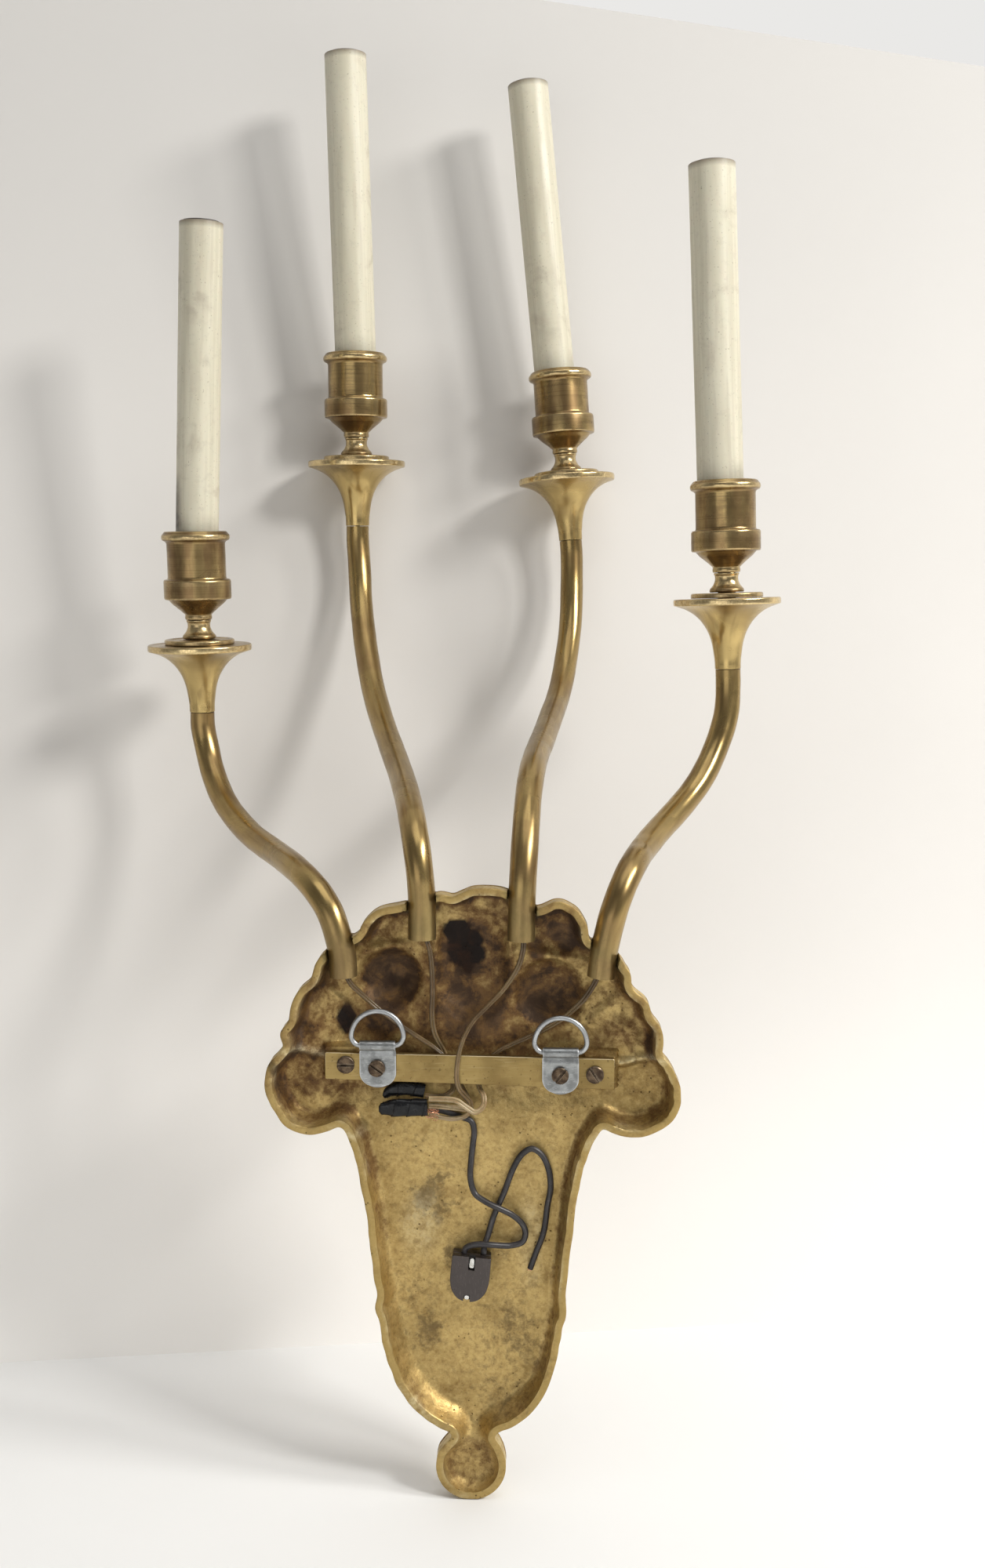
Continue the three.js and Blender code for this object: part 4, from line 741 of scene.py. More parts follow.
def make_zinc():
    m = Mat("zinc_plate")
    cloud = m.noise(150, 4, 0.6, distort=0.6)
    spangle = m.voronoi(700)
    fine = m.noise(1500, 3, 0.6)
    scr = m.noise(1.0, 3, 0.5, m.stretch(300, 900, 2600, rot=(0, 0.5, 0)))
    c = m.mix(m.range(cloud, 0.36, 0.64), (0.34, 0.352, 0.352), (0.215, 0.222, 0.222))
    c = m.mix(m.mul(m.range(fine, 0.54, 0.7), 0.35), c, (0.28, 0.285, 0.285))
    c = m.mix(m.mul(m.range(scr, 0.60, 0.66), 0.4), c, (0.66, 0.68, 0.69))
    c = m.mix(m.mul(m.attr("edge"), 0.6), c, (0.78, 0.80, 0.82))
    rough = m.math("ADD", m.range(cloud, 0.35, 0.65, 0.26, 0.40), m.mul(spangle, 0.08))
    m.set(color=c, metal=0.95, rough=rough, normal=m.bump(fine, 0.00004, 0.5, m.bump(scr, 0.00003, 0.5)))
    return m.m


def make_screw():
    m = Mat("dark_screw")
    cloud = m.noise(300, 4, 0.62)
    turn = m.noise(1.0, 3, 0.6, m.stretch(2500, 700, 2500))
    edge = m.attr("edge")
    c = m.mix(m.range(cloud, 0.38, 0.62), (0.150, 0.105, 0.066), (0.060, 0.040, 0.027))
    c = m.mix(m.mul(m.range(turn, 0.52, 0.66), 0.5), c, (0.055, 0.036, 0.024))
    c = m.mix(m.mul(m.range(edge, 0.0, 1.0), m.range(cloud, 0.35, 0.6, 0.85, 0.35)), c, (0.44, 0.37, 0.28))
    # painted shade: the bottom of the slot near black
    c = m.mix(m.range(edge, 0.0, -0.6), c, (0.012, 0.009, 0.007))
    m.set(color=c, metal=0.85, rough=m.range(cloud, 0.35, 0.65, 0.30, 0.52), normal=m.bump(turn, 0.00008, 0.6))
    return m.m


def make_bright():
    m = Mat("bright_screw")
    cloud = m.noise(600, 4, 0.6)
    turn = m.noise(1.0, 3, 0.5, m.stretch(3500, 900, 3500))
    c = m.mix(m.range(cloud, 0.38, 0.62), (0.80, 0.80, 0.77), (0.58, 0.57, 0.53))
    m.set(color=c, metal=0.95, rough=m.range(turn, 0.4, 0.6, 0.20, 0.34), normal=m.bump(turn, 0.00004, 0.5))
    return m.m


def make_rubber():
    m = Mat("cord_rubber")
    v = m.attr("tuv", vec=True)
    cloud = m.noise(90, 4, 0.6)
    run = m.noise(0.8, 4, 0.6, m.stretch(1, 1, 0.06, v))
    fine = m.noise(1300, 3, 0.6)
    c = m.mix(m.range(cloud, 0.36, 0.64), (0.034, 0.031, 0.033), (0.019, 0.017, 0.018))
    c = m.mix(m.mul(m.range(run, 0.54, 0.68), 0.5), c, (0.115, 0.105, 0.10))
    c = m.mix(m.mul(m.range(fine, 0.60, 0.72), 0.4), c, (0.17, 0.145, 0.12))
    m.set(color=c, rough=m.range(cloud, 0.35, 0.65, 0.34, 0.50), normal=m.bump(fine, 0.00005, 0.6, m.bump(run, 0.00008, 0.4)), spec=0.5)
    return m.m


def make_tape():
    m = Mat("tape")
    cloud = m.noise(150, 4, 0.6, distort=0.6)
    weave = m.noise(1.0, 2, 0.5, m.stretch(2200, 700, 700))
    fine = m.noise(1400, 3, 0.6)
    c = m.mix(m.range(cloud, 0.36, 0.64), (0.008, 0.0085, 0.0095), (0.004, 0.004, 0.0045))
    c = m.mix(m.mul(m.range(fine, 0.64, 0.76), 0.35), c, (0.06, 0.05, 0.04))
    m.set(color=c, rough=m.range(cloud, 0.35, 0.65, 0.14, 0.30), normal=m.bump(cloud, 0.0004, 0.5, m.bump(weave, 0.00005, 0.3)), spec=0.30)
    return m.m


def make_plastic():
    m = Mat("connector_plastic")
    cloud = m.noise(120, 4, 0.6, distort=0.4)
    fine = m.noise(1200, 4, 0.6)
    scr = m.noise(1.0, 3, 0.5, m.stretch(1900, 900, 260, rot=(0, 0.25, 0)))
    edge = m.attr("edge")
    c = m.mix(m.range(cloud, 0.36, 0.64), (0.020, 0.015, 0.0138), (0.011, 0.0085, 0.008))
    c = m.mix(m.mul(m.range(scr, 0.60, 0.68), 0.35), c, (0.14, 0.12, 0.11))
    c = m.mix(m.mul(m.range(fine, 0.60, 0.72), 0.35), c, (0.16, 0.13, 0.11))
    c = m.mix(m.mul(edge, 0.35), c, (0.14, 0.115, 0.105))
    m.set(color=c, rough=m.range(cloud, 0.35, 0.65, 0.26, 0.42), normal=m.bump(fine, 0.00003, 0.5, m.bump(scr, 0.00003, 0.5)), spec=0.35)
    return m.m


def make_copper():
    m = Mat("copper_strand")
    cloud = m.noise(400, 4, 0.6)
    fine = m.noise(2500, 3, 0.6)
    c = m.mix(m.range(cloud, 0.38, 0.62), (0.86, 0.46, 0.30), (0.55, 0.24, 0.13))
    m.set(color=c, metal=0.95, rough=m.range(fine, 0.4, 0.6, 0.24, 0.4))
    return m.m


CAST, TUBE, TURNED, BAR = make_cast_brass(), make_tube_brass(), make_turned_brass(), make_bar_brass()
SLEEVE, HOLDER, SOCKET, ROD = make_sleeve(), make_holder(), make_contact(), make_rod()
FLEX, ZINC, SCREW, BRIGHT = make_clear_flex(), make_zinc(), make_screw(), make_bright()
RUBBER, TAPE, PLASTIC, COPPER = make_rubber(), make_tape(), make_plastic(), make_copper()


# ------------------------------------------------------------------ leads and cords
TWIN = []
for k in range(24):
    a = k / 24 * 2 * math.pi
    # two round cores side by side with a web between them
    best = 0
    d = np.array([math.cos(a), math.sin(a)])
    for cx in (-0.70, 0.70):
        b = d[0] * cx
        disc = b * b - (cx * cx - 0.80 ** 2)
        if disc > 0:
            best = max(best, b + math.sqrt(disc))
    web = 0.42 / max(abs(d[1]), 1e-6)
    TWIN.append(d * max(best, min(web, 0.9)))
TWIN = np.array(TWIN) / 1.5


def flex(name, key, r, mat, node, section=None, n=150, twist=None, exit_at=0, extra=None, body="root", clear=None):
    path, length = catmull(CORDS[key], n)
    T, A, B = frames(path, up=(0.2, 1, 0.2))
    u = np.linspace(0, 1, n)
    tw = twist(u) if twist else np.zeros(n)
    if section is None:
        t = np.arange(20) / 20 * 2 * np.pi
        section = np.stack([np.cos(t), np.sin(t)], 1)
    V, uv, S = [], [], len(section)
    for i in range(n):
        ca, sa = math.cos(tw[i]), math.sin(tw[i])
        # the wide side of a flat flex lies along B, across the plate
        b, a = ca * B[i] + sa * A[i], -sa * B[i] + ca * A[i]
        V.append(path[i] + r * (section[:, :1] * b + section[:, 1:] * a))
        uv.append(np.stack([section[:, 0] * r, section[:, 1] * r, np.full(S, u[i] * length)], 1))
    faces = []
    for i in range(n - 1):
        for k in range(S):
            k2 = (k + 1) % S
            faces.append((i * S + k, i * S + k2, (i + 1) * S + k2, (i + 1) * S + k))
    faces.append(tuple(range(S - 1, -1, -1)))
    faces.append(tuple(range((n - 1) * S, n * S)))
    uvs = np.concatenate(uv)
    cl = np.repeat(clear(u) if clear else np.zeros(n), S)
    core = np.exp(-((np.abs(uvs[:, 0]) - 0.75) / 0.33) ** 2) if r < 1.55 else np.zeros(len(uvs))
    o = build(name, np.concatenate(V), faces, mat, body, node, attrs=dict(tuv=uvs, clear=cl, core=core * cl))
    return o, path


LEADS = {}
for i in range(4):
    tw = [lambda u: 0.5 + 0.9 * np.sin(2.2 * u + 0.3), lambda u: 1.1 - 1.3 * u, lambda u: 0.2 + 0.7 * np.sin(3 * u), lambda u: -0.4 + 1.2 * np.sin(2.6 * u)][i]
    cl = [lambda u: smooth(u, 0.70, 0.86), lambda u: 0.35 * smooth(u, 0.5, 0.7), lambda u: smooth(u, 0.80, 0.92), lambda u: smooth(u, 0.62, 0.75)][i]
    LEADS[i], _ = flex(f"lead_{i + 1}", f"lead{i + 1}", 1.5, FLEX, f"arm_{i + 1}_lead", TWIN, 170, tw, clear=cl)

cord_a, path_a = flex("cord_a", "cord_a", 1.6, RUBBER, "supply_cord_a", None, 190)
cord_b, path_b = flex("cord_b", "cord_b", 1.6, RUBBER, "supply_cord_b", None, 190)


# ------------------------------------------------------------------ cast backplate
def seg_dist(P, A, B):
    """Distance from points P to the segments A-B, least one."""
    d = B - A
    L = (d * d).sum(1)
    out = np.empty(len(P))
    for s in range(0, len(P), 4000):
        p = P[s:s + 4000, None]
        t = np.clip(((p - A) * d).sum(2) / L, 0, 1)
        q = A + t[..., None] * d - p
        out[s:s + 4000] = np.sqrt((q * q).sum(2)).min(1)
    return out


def inside(P, poly):
    x, z = P[:, 0], P[:, 1]
    r = np.zeros(len(P), bool)
    j = len(poly) - 1
    for i in range(len(poly)):
        (xi, zi), (xj, zj) = poly[i], poly[j]
        if zi != zj:
            c = ((zi > z) != (zj > z)) & (x < (xj - xi) * (z - zi) / (zj - zi) + xi)
            r ^= c
        j = i
    return r


edge_line, _ = catmull(np.c_[OUTLINE, np.zeros(len(OUTLINE))], 1050, closed=True)
edge_line = edge_line[:, :2]
w_ = np.exp(-0.5 * (np.arange(-5, 6) / 1.7) ** 2)
w_ /= w_.sum()
edge_line = sum(w_[k + 5] * np.roll(edge_line, k, 0) for k in range(-5, 6))
low_ = edge_line[:, 1] < -238.5
c_, *_ = np.linalg.lstsq(np.c_[2 * edge_line[low_], np.ones(low_.sum())], (edge_line[low_] ** 2).sum(1), rcond=None)
q_ = edge_line - c_[:2]
r_ = np.hypot(*q_.T)
want = math.sqrt(c_[2] + c_[0] ** 2 + c_[1] ** 2)
m_ = (0.9 * (1 - smooth(edge_line[:, 1], -241, -236.5)))[:, None]
edge_line = edge_line * (1 - m_) + m_ * (c_[:2] + q_ / r_[:, None] * want)
edge_line[:, 1] = np.maximum(edge_line[:, 1], OUTLINE_LOW)


def sdf(P):
    d = seg_dist(P, edge_line, np.roll(edge_line, -1, 0))
    return np.where(inside(P, edge_line), d, -d)


# tube centre lines as polylines with their distance from the wall plane
TUBE_R, BORE_R = 7.15, 5.7
arm_paths = []
for a in ARMS:
    d, ax = np.array(a["disc"]), np.array(a["axis"])
    ax = ax / np.linalg.norm(ax)
    pts = [np.array(p, float) for p in a["path"]] + [d - 47 * ax, d - 38.3 * ax]
    arm_paths.append(catmull(pts, 200)[0])


def tube_field(P):
    """Distance across the plate to the nearest tube's centre line, and the tube's depth there."""
    best, dep = np.full(len(P), 99.0), np.zeros(len(P))
    for path in arm_paths:
        low = path[path[:, 1] > -60]
        D = np.sqrt(((P[:, None] - low[None][:, :, [0, 2]]) ** 2).sum(2))
        k = D.argmin(1)
        dk = D[np.arange(len(P)), k]
        m = dk < best
        best[m], dep[m] = dk[m], -low[k[m], 1]
    return best, dep


def bowl(P, cx, cz, rx, rz, h, soft=0.8, rot=0.0):
    c, s = math.cos(rot), math.sin(rot)
    x, z = P[:, 0] - cx, P[:, 1] - cz
    x, z = c * x + s * z, -s * x + c * z
    q = (x / rx) ** 2 + (z / rz) ** 2
    return h * np.clip(1 - q, 0, None) ** soft


def ridge(P, a, b, h, w):
    a, b = np.array(a, float), np.array(b, float)
    d = seg_dist(P, a[None], b[None])
    return h * np.exp(-(d / w) ** 2)


def full_depth(P):
    x, z = P[:, 0], P[:, 1]
    up_ = smooth(z, -62, -38) * (1 - smooth(np.abs(x), 60, 82))
    f = 18.2 + 4.0 * up_ + (12 - 18.2) * (1 - smooth(z, -236, -220))
    f += bowl(P, 43.2, 13.5, 18, 17, 6) + bowl(P, -39.7, 5.6, 19, 19, 6) + bowl(P, -0.1, 20, 21, 32, 5)
    f += bowl(P, 86, -46, 19, 20, 3) + bowl(P, -86, -46, 19, 20, 3) + bowl(P, 0.6, -247, 14, 14, 2.5)
    return f


def back_depth(P, s, td, tdep):
    x, z = P[:, 0], P[:, 1]
    D = full_depth(P) - 3.5
    # sharper cups where the bosses of the front were cast
    D += bowl(P, 42.9, 14.2, 15.5, 15.0, 1.6, 0.45) + bowl(P, -39.7, 6.4, 17.5, 17.5, 1.4, 0.45)
    D += bowl(P, 49.7, 38.5, 14, 11, 2.2, 0.7) + bowl(P, -46, 37.0, 14, 11, 2.2, 0.7)
    D += bowl(P, -0.3, 24.0, 18.8, 29, 1.2, 0.5)
    D += bowl(P, 80, 8, 12, 16, 1.6, 0.7, 0.5) + bowl(P, -80, 4, 12, 16, 1.6, 0.7, -0.5)
    D -= ridge(P, (101, -20.5), (78.1, -25.7), 2.6, 2.0) + ridge(P, (-100.8, -24), (-76.5, -30), 2.6, 2.0)
    D -= ridge(P, (71.9, -62.4), (57.9, -66.5), 3.0, 2.6) + ridge(P, (-69.4, -62), (-59.6, -69.7), 3.0, 2.6)
    D -= ridge(P, (19.4, 55), (19.2, 15), 1.5, 2.4) + ridge(P, (-19.4, 55), (-19.2, 15), 1.5, 2.4)
    D -= ridge(P, (82.5, 15.2), (54.1, -11.7), 1.7, 3.0) + ridge(P, (-80.0, 8.0), (-60.5, -10.0), 1.5, 3.0)
    D -= ridge(P, (61, 27), (27, 33), 1.3, 2.6) + ridge(P, (-62, 22), (-26, 28), 1.4, 2.6)
    D += ridge(P, (96, 2), (88, -14), 1.2, 3.0) + ridge(P, (-97, -2), (-88, -17), 1.2, 3.0)
    D -= 2.6 * (1 - smooth(z, -240, -226)) + 1.9 * (1 - smooth(z, -226, -150)) * smooth(z, -242, -226)
    D += 0.9 * vnoise(P, 34, 2) * smooth(s, 4, 14)
    up_ = smooth(z, -58, -30)
    D += (0.55 * up_ + 0.16) * vnoise(P + 31, 11, 3) * smooth(s, 4, 9)
    D += (0.16 + 0.16 * up_) * vnoise(P + 77, 3.4, 2)
    D += 0.85 * np.exp(-(seg_dist(P, np.array([[36.0, -201.0]]), np.array([[14.0, -230.0]])) / 7.5) ** 2) * vnoise(P + 140, 2.4, 3)
    # steep wall of the hollow
    wob = 0.45 * vnoise(P + 11, 9, 2)
    low_left = (1 - smooth(z, -190, -120)) * smooth(x, -18, 26) + (1 - smooth(z, -216, -196)) * 0.8
    low_left = np.clip(low_left, 0, 1) * (0.35 + 0.65 * smooth(z, -238, -232))
    run = 4.4 + 0.7 * vnoise(P + 5, 40, 1) + 6.0 * low_left * (1 - 0.65 * (1 - smooth(z, -232, -210)))
    t = np.clip((s - 3.75) / (run + wob), 0, 1)
    steep = np.sqrt(np.clip(1 - (1 - t) ** 2, 0, 1)) ** 1.1
    soft = 1 - (1 - t) ** 2.0
    B = D * (steep * (1 - low_left) + soft * low_left)
    # small flat rim with worn corners
    B = np.where(s < 3.75, 0, B)
    B = B + 0.45 * np.clip(1 - s / 0.5, 0, 1) ** 2
    B = np.maximum(B, 0.34 * np.exp(-((s - 3.75) / 0.5) ** 2) * (s > 3.2))
    B = B + np.clip(0.10 * vnoise(P + 3, 7, 3), -0.0, None) * (s < 3.8)
    # lands under the ends of the strap
    for x0, x1, z0, z1 in ((60.3, 76.2, -38.2, -20.8), (-74.2, -57.8, -42.2, -24.3)):
        m = smooth(x, x0 - 1.4, x0) * (1 - smooth(x, x1, x1 + 1.4)) * smooth(z, z0 - 1.4, z0) * (1 - smooth(z, z1, z1 + 1.4))
        B = B * (1 - m) + np.minimum(B, 9.9) * m
    # saddles for the tubes
    r = TUBE_R + 0.55
    cut = np.where(td < r, tdep + np.sqrt(np.clip(r * r - td * td, 0, None)), 0)
    return np.maximum(B, cut)


def front_depth(P, s, td, tdep, B):
    x, z = P[:, 0], P[:, 1]
    F = full_depth(P)
    # flutes of the shell open from its foot
    dx, dz = x, z + 46
    ang = np.arctan2(dx, dz)
    rad = np.hypot(dx, dz)
    fan = smooth(z, -52, -34) * smooth(rad, 26, 48)
    F += fan * 1.5 * np.cos(ang * 9.0) * smooth(s, 2.5, 9)
    F += fan * 0.5 * np.cos(ang * 27.0) * smooth(s, 4, 11) * (1 - smooth(rad, 78, 96))
    # bead and fillet that follow the edge
    F += 1.5 * np.exp(-((s - 7.0) / 1.7) ** 2) - 1.0 * np.exp(-((s - 10.6) / 1.3) ** 2)
    # long leaf on the stem with a middle rib and side veins
    stem = 1 - smooth(z, -62, -48)
    stem *= smooth(z, -232, -214)
    half = 36 - 0.10 * (-60 - z)
    leaf = stem * (1 - smooth(np.abs(x), half * 0.72, half * 0.80))
    F += leaf * (1.5 + 1.5 * np.exp(-(x / 2.6) ** 2) + 0.7 * np.cos((z - np.abs(x) * 0.8) / 12.0 * 2 * np.pi) * smooth(np.abs(x), 3, 7))
    # volutes on the two lobes, rings on the finial
    for cx, cz, R in ((86, -46, 17), (-86, -46, 17), (0.6, -247, 13)):
        q = np.hypot(x - cx, z - cz)
        F += 0.9 * np.cos(q / 5.2 * 2 * np.pi) * (1 - smooth(q, R - 5, R)) * (1 - 0.3 * (q < 3))
    # boss in the middle of the shell foot
    q = np.hypot(x, z + 44)
    F += 3.0 * np.sqrt(np.clip(1 - (q / 15) ** 2, 0, 1)) + 0.8 * np.exp(-((q - 18) / 1.3) ** 2)
    F += 0.16 * vnoise(P + 120, 5, 3)
    t = np.clip(s / 12, 0, 1)
    F = 10.8 + (F - 10.8) * np.sqrt(1 - (1 - t) ** 2)
    # the casting swells over each tube
    r = TUBE_R + 3.4
    bulge = np.where(td < r, tdep + np.sqrt(np.clip(r * r - td * td, 0, None)) - 0.2, 0) * smooth(s, 0.4, 4.5)
    F = np.where(bulge > F, bulge, F)
    return np.maximum(np.minimum(F, 30.0), B + 2.0)


def iso_loops(G, X, Z, level):
    """Closed or open lines where the sampled field G equals level, by marching squares."""
    nx, nz = len(X), len(Z)
    A = G > level
    nxt, pts = {}, {}

    def cut(i, k, j, l):
        key = (i, k, j, l)
        if key not in pts:
            a, b = G[k, i], G[l, j]
            t = (level - a) / (b - a)
            pts[key] = (X[i] + t * (X[j] - X[i]), Z[k] + t * (Z[l] - Z[k]))
        return key
    kk, ii = np.nonzero((A[:-1, :-1] != A[1:, :-1]) | (A[:-1, :-1] != A[:-1, 1:]) | (A[:-1, :-1] != A[1:, 1:]))
    for k, i in zip(kk.tolist(), ii.tolist()):
        e = []
        if A[k, i] != A[k, i + 1]:
            e.append(cut(i, k, i + 1, k))
        if A[k, i + 1] != A[k + 1, i + 1]:
            e.append(cut(i + 1, k, i + 1, k + 1))
        if A[k + 1, i] != A[k + 1, i + 1]:
            e.append(cut(i, k + 1, i + 1, k + 1))
        if A[k, i] != A[k + 1, i]:
            e.append(cut(i, k, i, k + 1))
        for a, b in zip(e[::2], e[1::2]):
            nxt.setdefault(a, []).append(b)
            nxt.setdefault(b, []).append(a)
    loops, seen = [], set()
    starts = [k for k in nxt if len(nxt[k]) == 1] + list(nxt)
    for s in starts:
        if s in seen:
            continue
        line, cur = [], s
        while cur is not None:
            seen.add(cur)
            line.append(pts[cur])
            cur = next((q for q in nxt[cur] if q not in seen), None)
        if len(line) > 4:
            loops.append((np.array(line), len(nxt[s]) > 1))
    return loops


def even(line, step, closed):
    if closed:
        line = np.vstack([line, line[:1]])
    s = np.r_[0, np.cumsum(np.linalg.norm(np.diff(line, axis=0), axis=1))]
    n = max(4, int(round(s[-1] / step)))
    at = np.linspace(0, s[-1], n + 1)
    if closed:
        at = at[:-1]
    return np.stack([np.interp(at, s, line[:, k]) for k in (0, 1)], 1)


def make_backplate():
    X, Z = np.arange(-114, 114.1, 1.0), np.arange(-270, 72, 1.0)
    GX, GZ = np.meshgrid(X, Z)
    P = np.c_[GX.ravel(), GZ.ravel()]
    S = sdf(P).reshape(GX.shape)
    TD = tube_field(P)[0].reshape(GX.shape)
    pts, edges = [edge_line], []
    n0 = len(edge_line)
    edges += [(i, (i + 1) % n0) for i in range(n0)]
    count = n0
    for lv, step in ((0.5, 1.0), (2.0, 1.4), (3.45, 1.0), (3.75, 1.0), (4.15, 1.0), (4.9, 1.1), (6.2, 1.3), (8.0, 1.5)):
        for line, closed in iso_loops(S, X, Z, lv):
            q = even(line, step, closed)
            pts.append(q)
            m = len(q)
            edges += [(count + i, count + (i + 1) % m) for i in range(m if closed else m - 1)]
            count += m
    for lv in (TUBE_R + 0.35, TUBE_R + 0.75):
        for line, closed in iso_loops(np.where(S > -3, TD, 30), X, Z, lv):
            q = even(line, 1.2, closed)
            keep = sdf(q) > 0.7
            run = []
            for i, k in enumerate(keep.tolist() + [False]):
                if k:
                    run.append(q[i])
                elif run:
                    if len(run) > 2:
                        pts.append(np.array(run))
                        edges += [(count + j, count + j + 1) for j in range(len(run) - 1)]
                        count += len(run)
                    run = []
    gx, gz = [], []
    step = 1.55
    for r, z in enumerate(np.arange(-268, 70, step * 0.866)):
        for x in np.arange(-112 + (r % 2) * step / 2, 112, step):
            gx.append(x)
            gz.append(z)
    G = np.c_[gx, gz]
    G = G[sdf(G) > 8.8]
    pts.append(G)
    A = np.concatenate(pts)
    out = delaunay_2d_cdt([Vector(p) for p in A.tolist()], edges, [], 1, 1e-4)
    Q = np.array([tuple(v) for v in out[0]])
    tris = np.array([tuple(f) for f in out[2]])
    c = Q[tris].mean(1)
    tris = tris[inside(c, edge_line)]
    used = np.unique(tris)
    remap = -np.ones(len(Q), int)
    remap[used] = np.arange(len(used))
    Q, tris = Q[used], remap[tris]
    s = np.maximum(sdf(Q), 0)
    # outer boundary
    E = {}
    for t in tris.tolist():
        for a, b in ((t[0], t[1]), (t[1], t[2]), (t[2], t[0])):
            E[(a, b)] = 1
    border = [(a, b) for a, b in E if (b, a) not in E]
    on = np.unique(np.array(border))
    s[on] = 0
    td, tdep = tube_field(Q)
    B = back_depth(Q, s, td, tdep)
    F = front_depth(Q, s, td, tdep, B)
    n = len(Q)
    back = np.c_[Q[:, 0], -B, Q[:, 1]]
    front = np.c_[Q[:, 0], -F, Q[:, 1]]
    V = [back, front]
    faces = [tuple(t) for t in tris.tolist()] + [(a + n, c + n, b + n) for a, b, c in tris.tolist()]
    # outer wall in rings, a little fuller in the middle
    idx = {int(v): i for i, v in enumerate(on)}
    nb = len(on)
    nrm = np.zeros((nb, 2))
    for a, b in border:
        d = Q[b] - Q[a]
        nn = np.array([d[1], -d[0]])
        nrm[idx[a]] += nn
        nrm[idx[b]] += nn
    nrm /= np.linalg.norm(nrm, axis=1)[:, None] + 1e-9
    rings = []
    levels = (0.06, 0.2, 0.4, 0.6, 0.8, 0.94)
    for k, f in enumerate(levels):
        off = -0.75 + 0.75 * math.sin(math.pi * min(max(f, 0.0), 1.0)) ** 0.7
        q = Q[on] + nrm * (off + 0.0)
        lo, hi = B[on], F[on]
        V.append(np.c_[q[:, 0], -(lo + (hi - lo) * f), q[:, 1]])
        rings.append(2 * n + k * nb)
    for a, b in border:
        ia, ib = idx[a], idx[b]
        prev = (a, b)
        for r in rings:
            cur = (r + ia, r + ib)
            faces.append((prev[1], prev[0], cur[0], cur[1]))
            prev = cur
        faces.append((prev[1], prev[0], a + n, b + n))
    V = np.concatenate(V)
    # finish masks, painted highlights and painted shade among them
    def spot(cx, cz, rx, rz, soft, seed, wob=0.35, wscale=4.0):
        q = np.hypot((Q[:, 0] - cx) / rx, (Q[:, 1] - cz) / rz)
        q = q * (1 + wob * vnoise(Q + seed, wscale, 3))
        return 1 - smooth(q, 1 - soft, 1 + soft)
    x, z = Q[:, 0], Q[:, 1]
    upper = smooth(z, -60, -38)
    # upper part darker: tarnish, and painted shade that is lighter towards -X, the key light's side, and darker at
    # large +X
    tarnish_and_shade = upper * (0.33 + 0.17 * vnoise(Q + 91, 22, 3)) * (1 - 0.25 * smooth(-x, 10, 60)) * (1 - 0.45 * smooth(-x, 66, 95)) + 0.10 * upper * smooth(x, 60, 90)
    tarnish_and_shade += 0.16 * upper * smooth(vnoise(Q + 191, 5, 3), -0.1, 0.5)
    tarnish_and_shade += 0.62 * spot(42.9, 12.5, 14.5, 16.0, 0.15, 3, 0.18) + 0.46 * spot(-39.7, 5.5, 17.0, 17.2, 0.14, 9, 0.18)
    tarnish_and_shade += 0.34 * spot(-0.3, 14, 20, 34, 0.3, 21, 0.25) + 0.30 * upper * smooth(vnoise(Q + 40, 16, 3), -0.1, 0.5)
    tarnish_and_shade += 0.3 * spot(0, -10, 40, 14, 0.5, 33) + 0.42 * spot(48, -8, 14, 9, 0.5, 35) + 0.24 * spot(-80, -15, 24, 8, 0.5, 37)
    tarnish_and_shade += 0.5 * spot(-44.4, 38.6, 6, 5, 0.5, 5) + 0.5 * spot(-48.5, 31.7, 4, 6, 0.5, 6) + 0.22 * spot(88, -47, 11, 8, 0.6, 8) + 0.06 * spot(-88, -52, 14, 10, 0.6, 13) - 0.12 * spot(-88, -46, 20, 20, 0.4, 17) - 0.08 * spot(88, -46, 20, 20, 0.4, 19)
    tarnish_and_shade += 0.55 * spot(-33.1, 29.1, 5, 6, 0.4, 15)
    # painted shade on the inner walls of the hollow, strongest on the upper part and on the -X side, where the walls
    # face away from the key light
    wall = smooth(s, 3.7, 4.4) * (1 - smooth(s, 7.0, 9.5))
    side = smooth(z, -150, -100) + (1 - smooth(x, -30, -10)) * 0.8
    tarnish_and_shade += wall * (0.50 + 0.25 * vnoise(Q + 55, 14, 2)) * np.clip(side, 0, 1)
    tarnish_and_shade += 0.36 * (1 - smooth(z, -236, -228)) * smooth(s, 3, 8)
    tarnish_and_shade += 0.34 * np.exp(-(seg_dist(Q, np.array([[36.6, -203.4]]), np.array([[11.0, -233.6]])) / 7.0) ** 2) * (0.75 + 0.5 * vnoise(Q + 260, 3.0, 3))
    stain = np.zeros(n)
    for cx, cz, rx, rz, a in ((21.8, -101.5, 8, 10, .85), (17.5, -112, 6, 5, .55), (10.3, -136.2, 6, 7, .7), (11.5, -153, 4, 5, .55), (24.2, -176.9, 8, 10, .75), (-21.7, -176, 14, 16, .50),
                              (-15.4, -134.2, 6, 4, .4), (-18, -212, 15, 14, .45), (30, -160, 13, 16, .30), (-27, -150, 14, 12, .28), (4, -66, 30, 10, .18), (-34, -186, 10, 14, .40), (26, -75, 10, 8, .25)):
        stain = np.maximum(stain, a * spot(cx, cz, rx, rz, 0.6, cx, 0.9, 4.0))
    pitch = np.maximum(spot(5.0, 29.0, 9.0, 12.5, 0.07, 101, 0.55, 7.0), spot(8.2, 38.5, 7.0, 6.0, 0.07, 105, 0.3, 5.0))
    pitch = np.maximum(pitch, spot(65.6, -7.2, 5.2, 8.6, 0.08, 107, 0.25, 6.0))
    pitch = np.maximum(pitch, 0.75 * spot(40, 10.5, 5.5, 4.0, 0.3, 109, 0.8, 3.0))
    pitch = np.maximum(pitch, 0.6 * spot(102, -29, 2.2, 4.2, 0.3, 111, 0.8, 3.0))
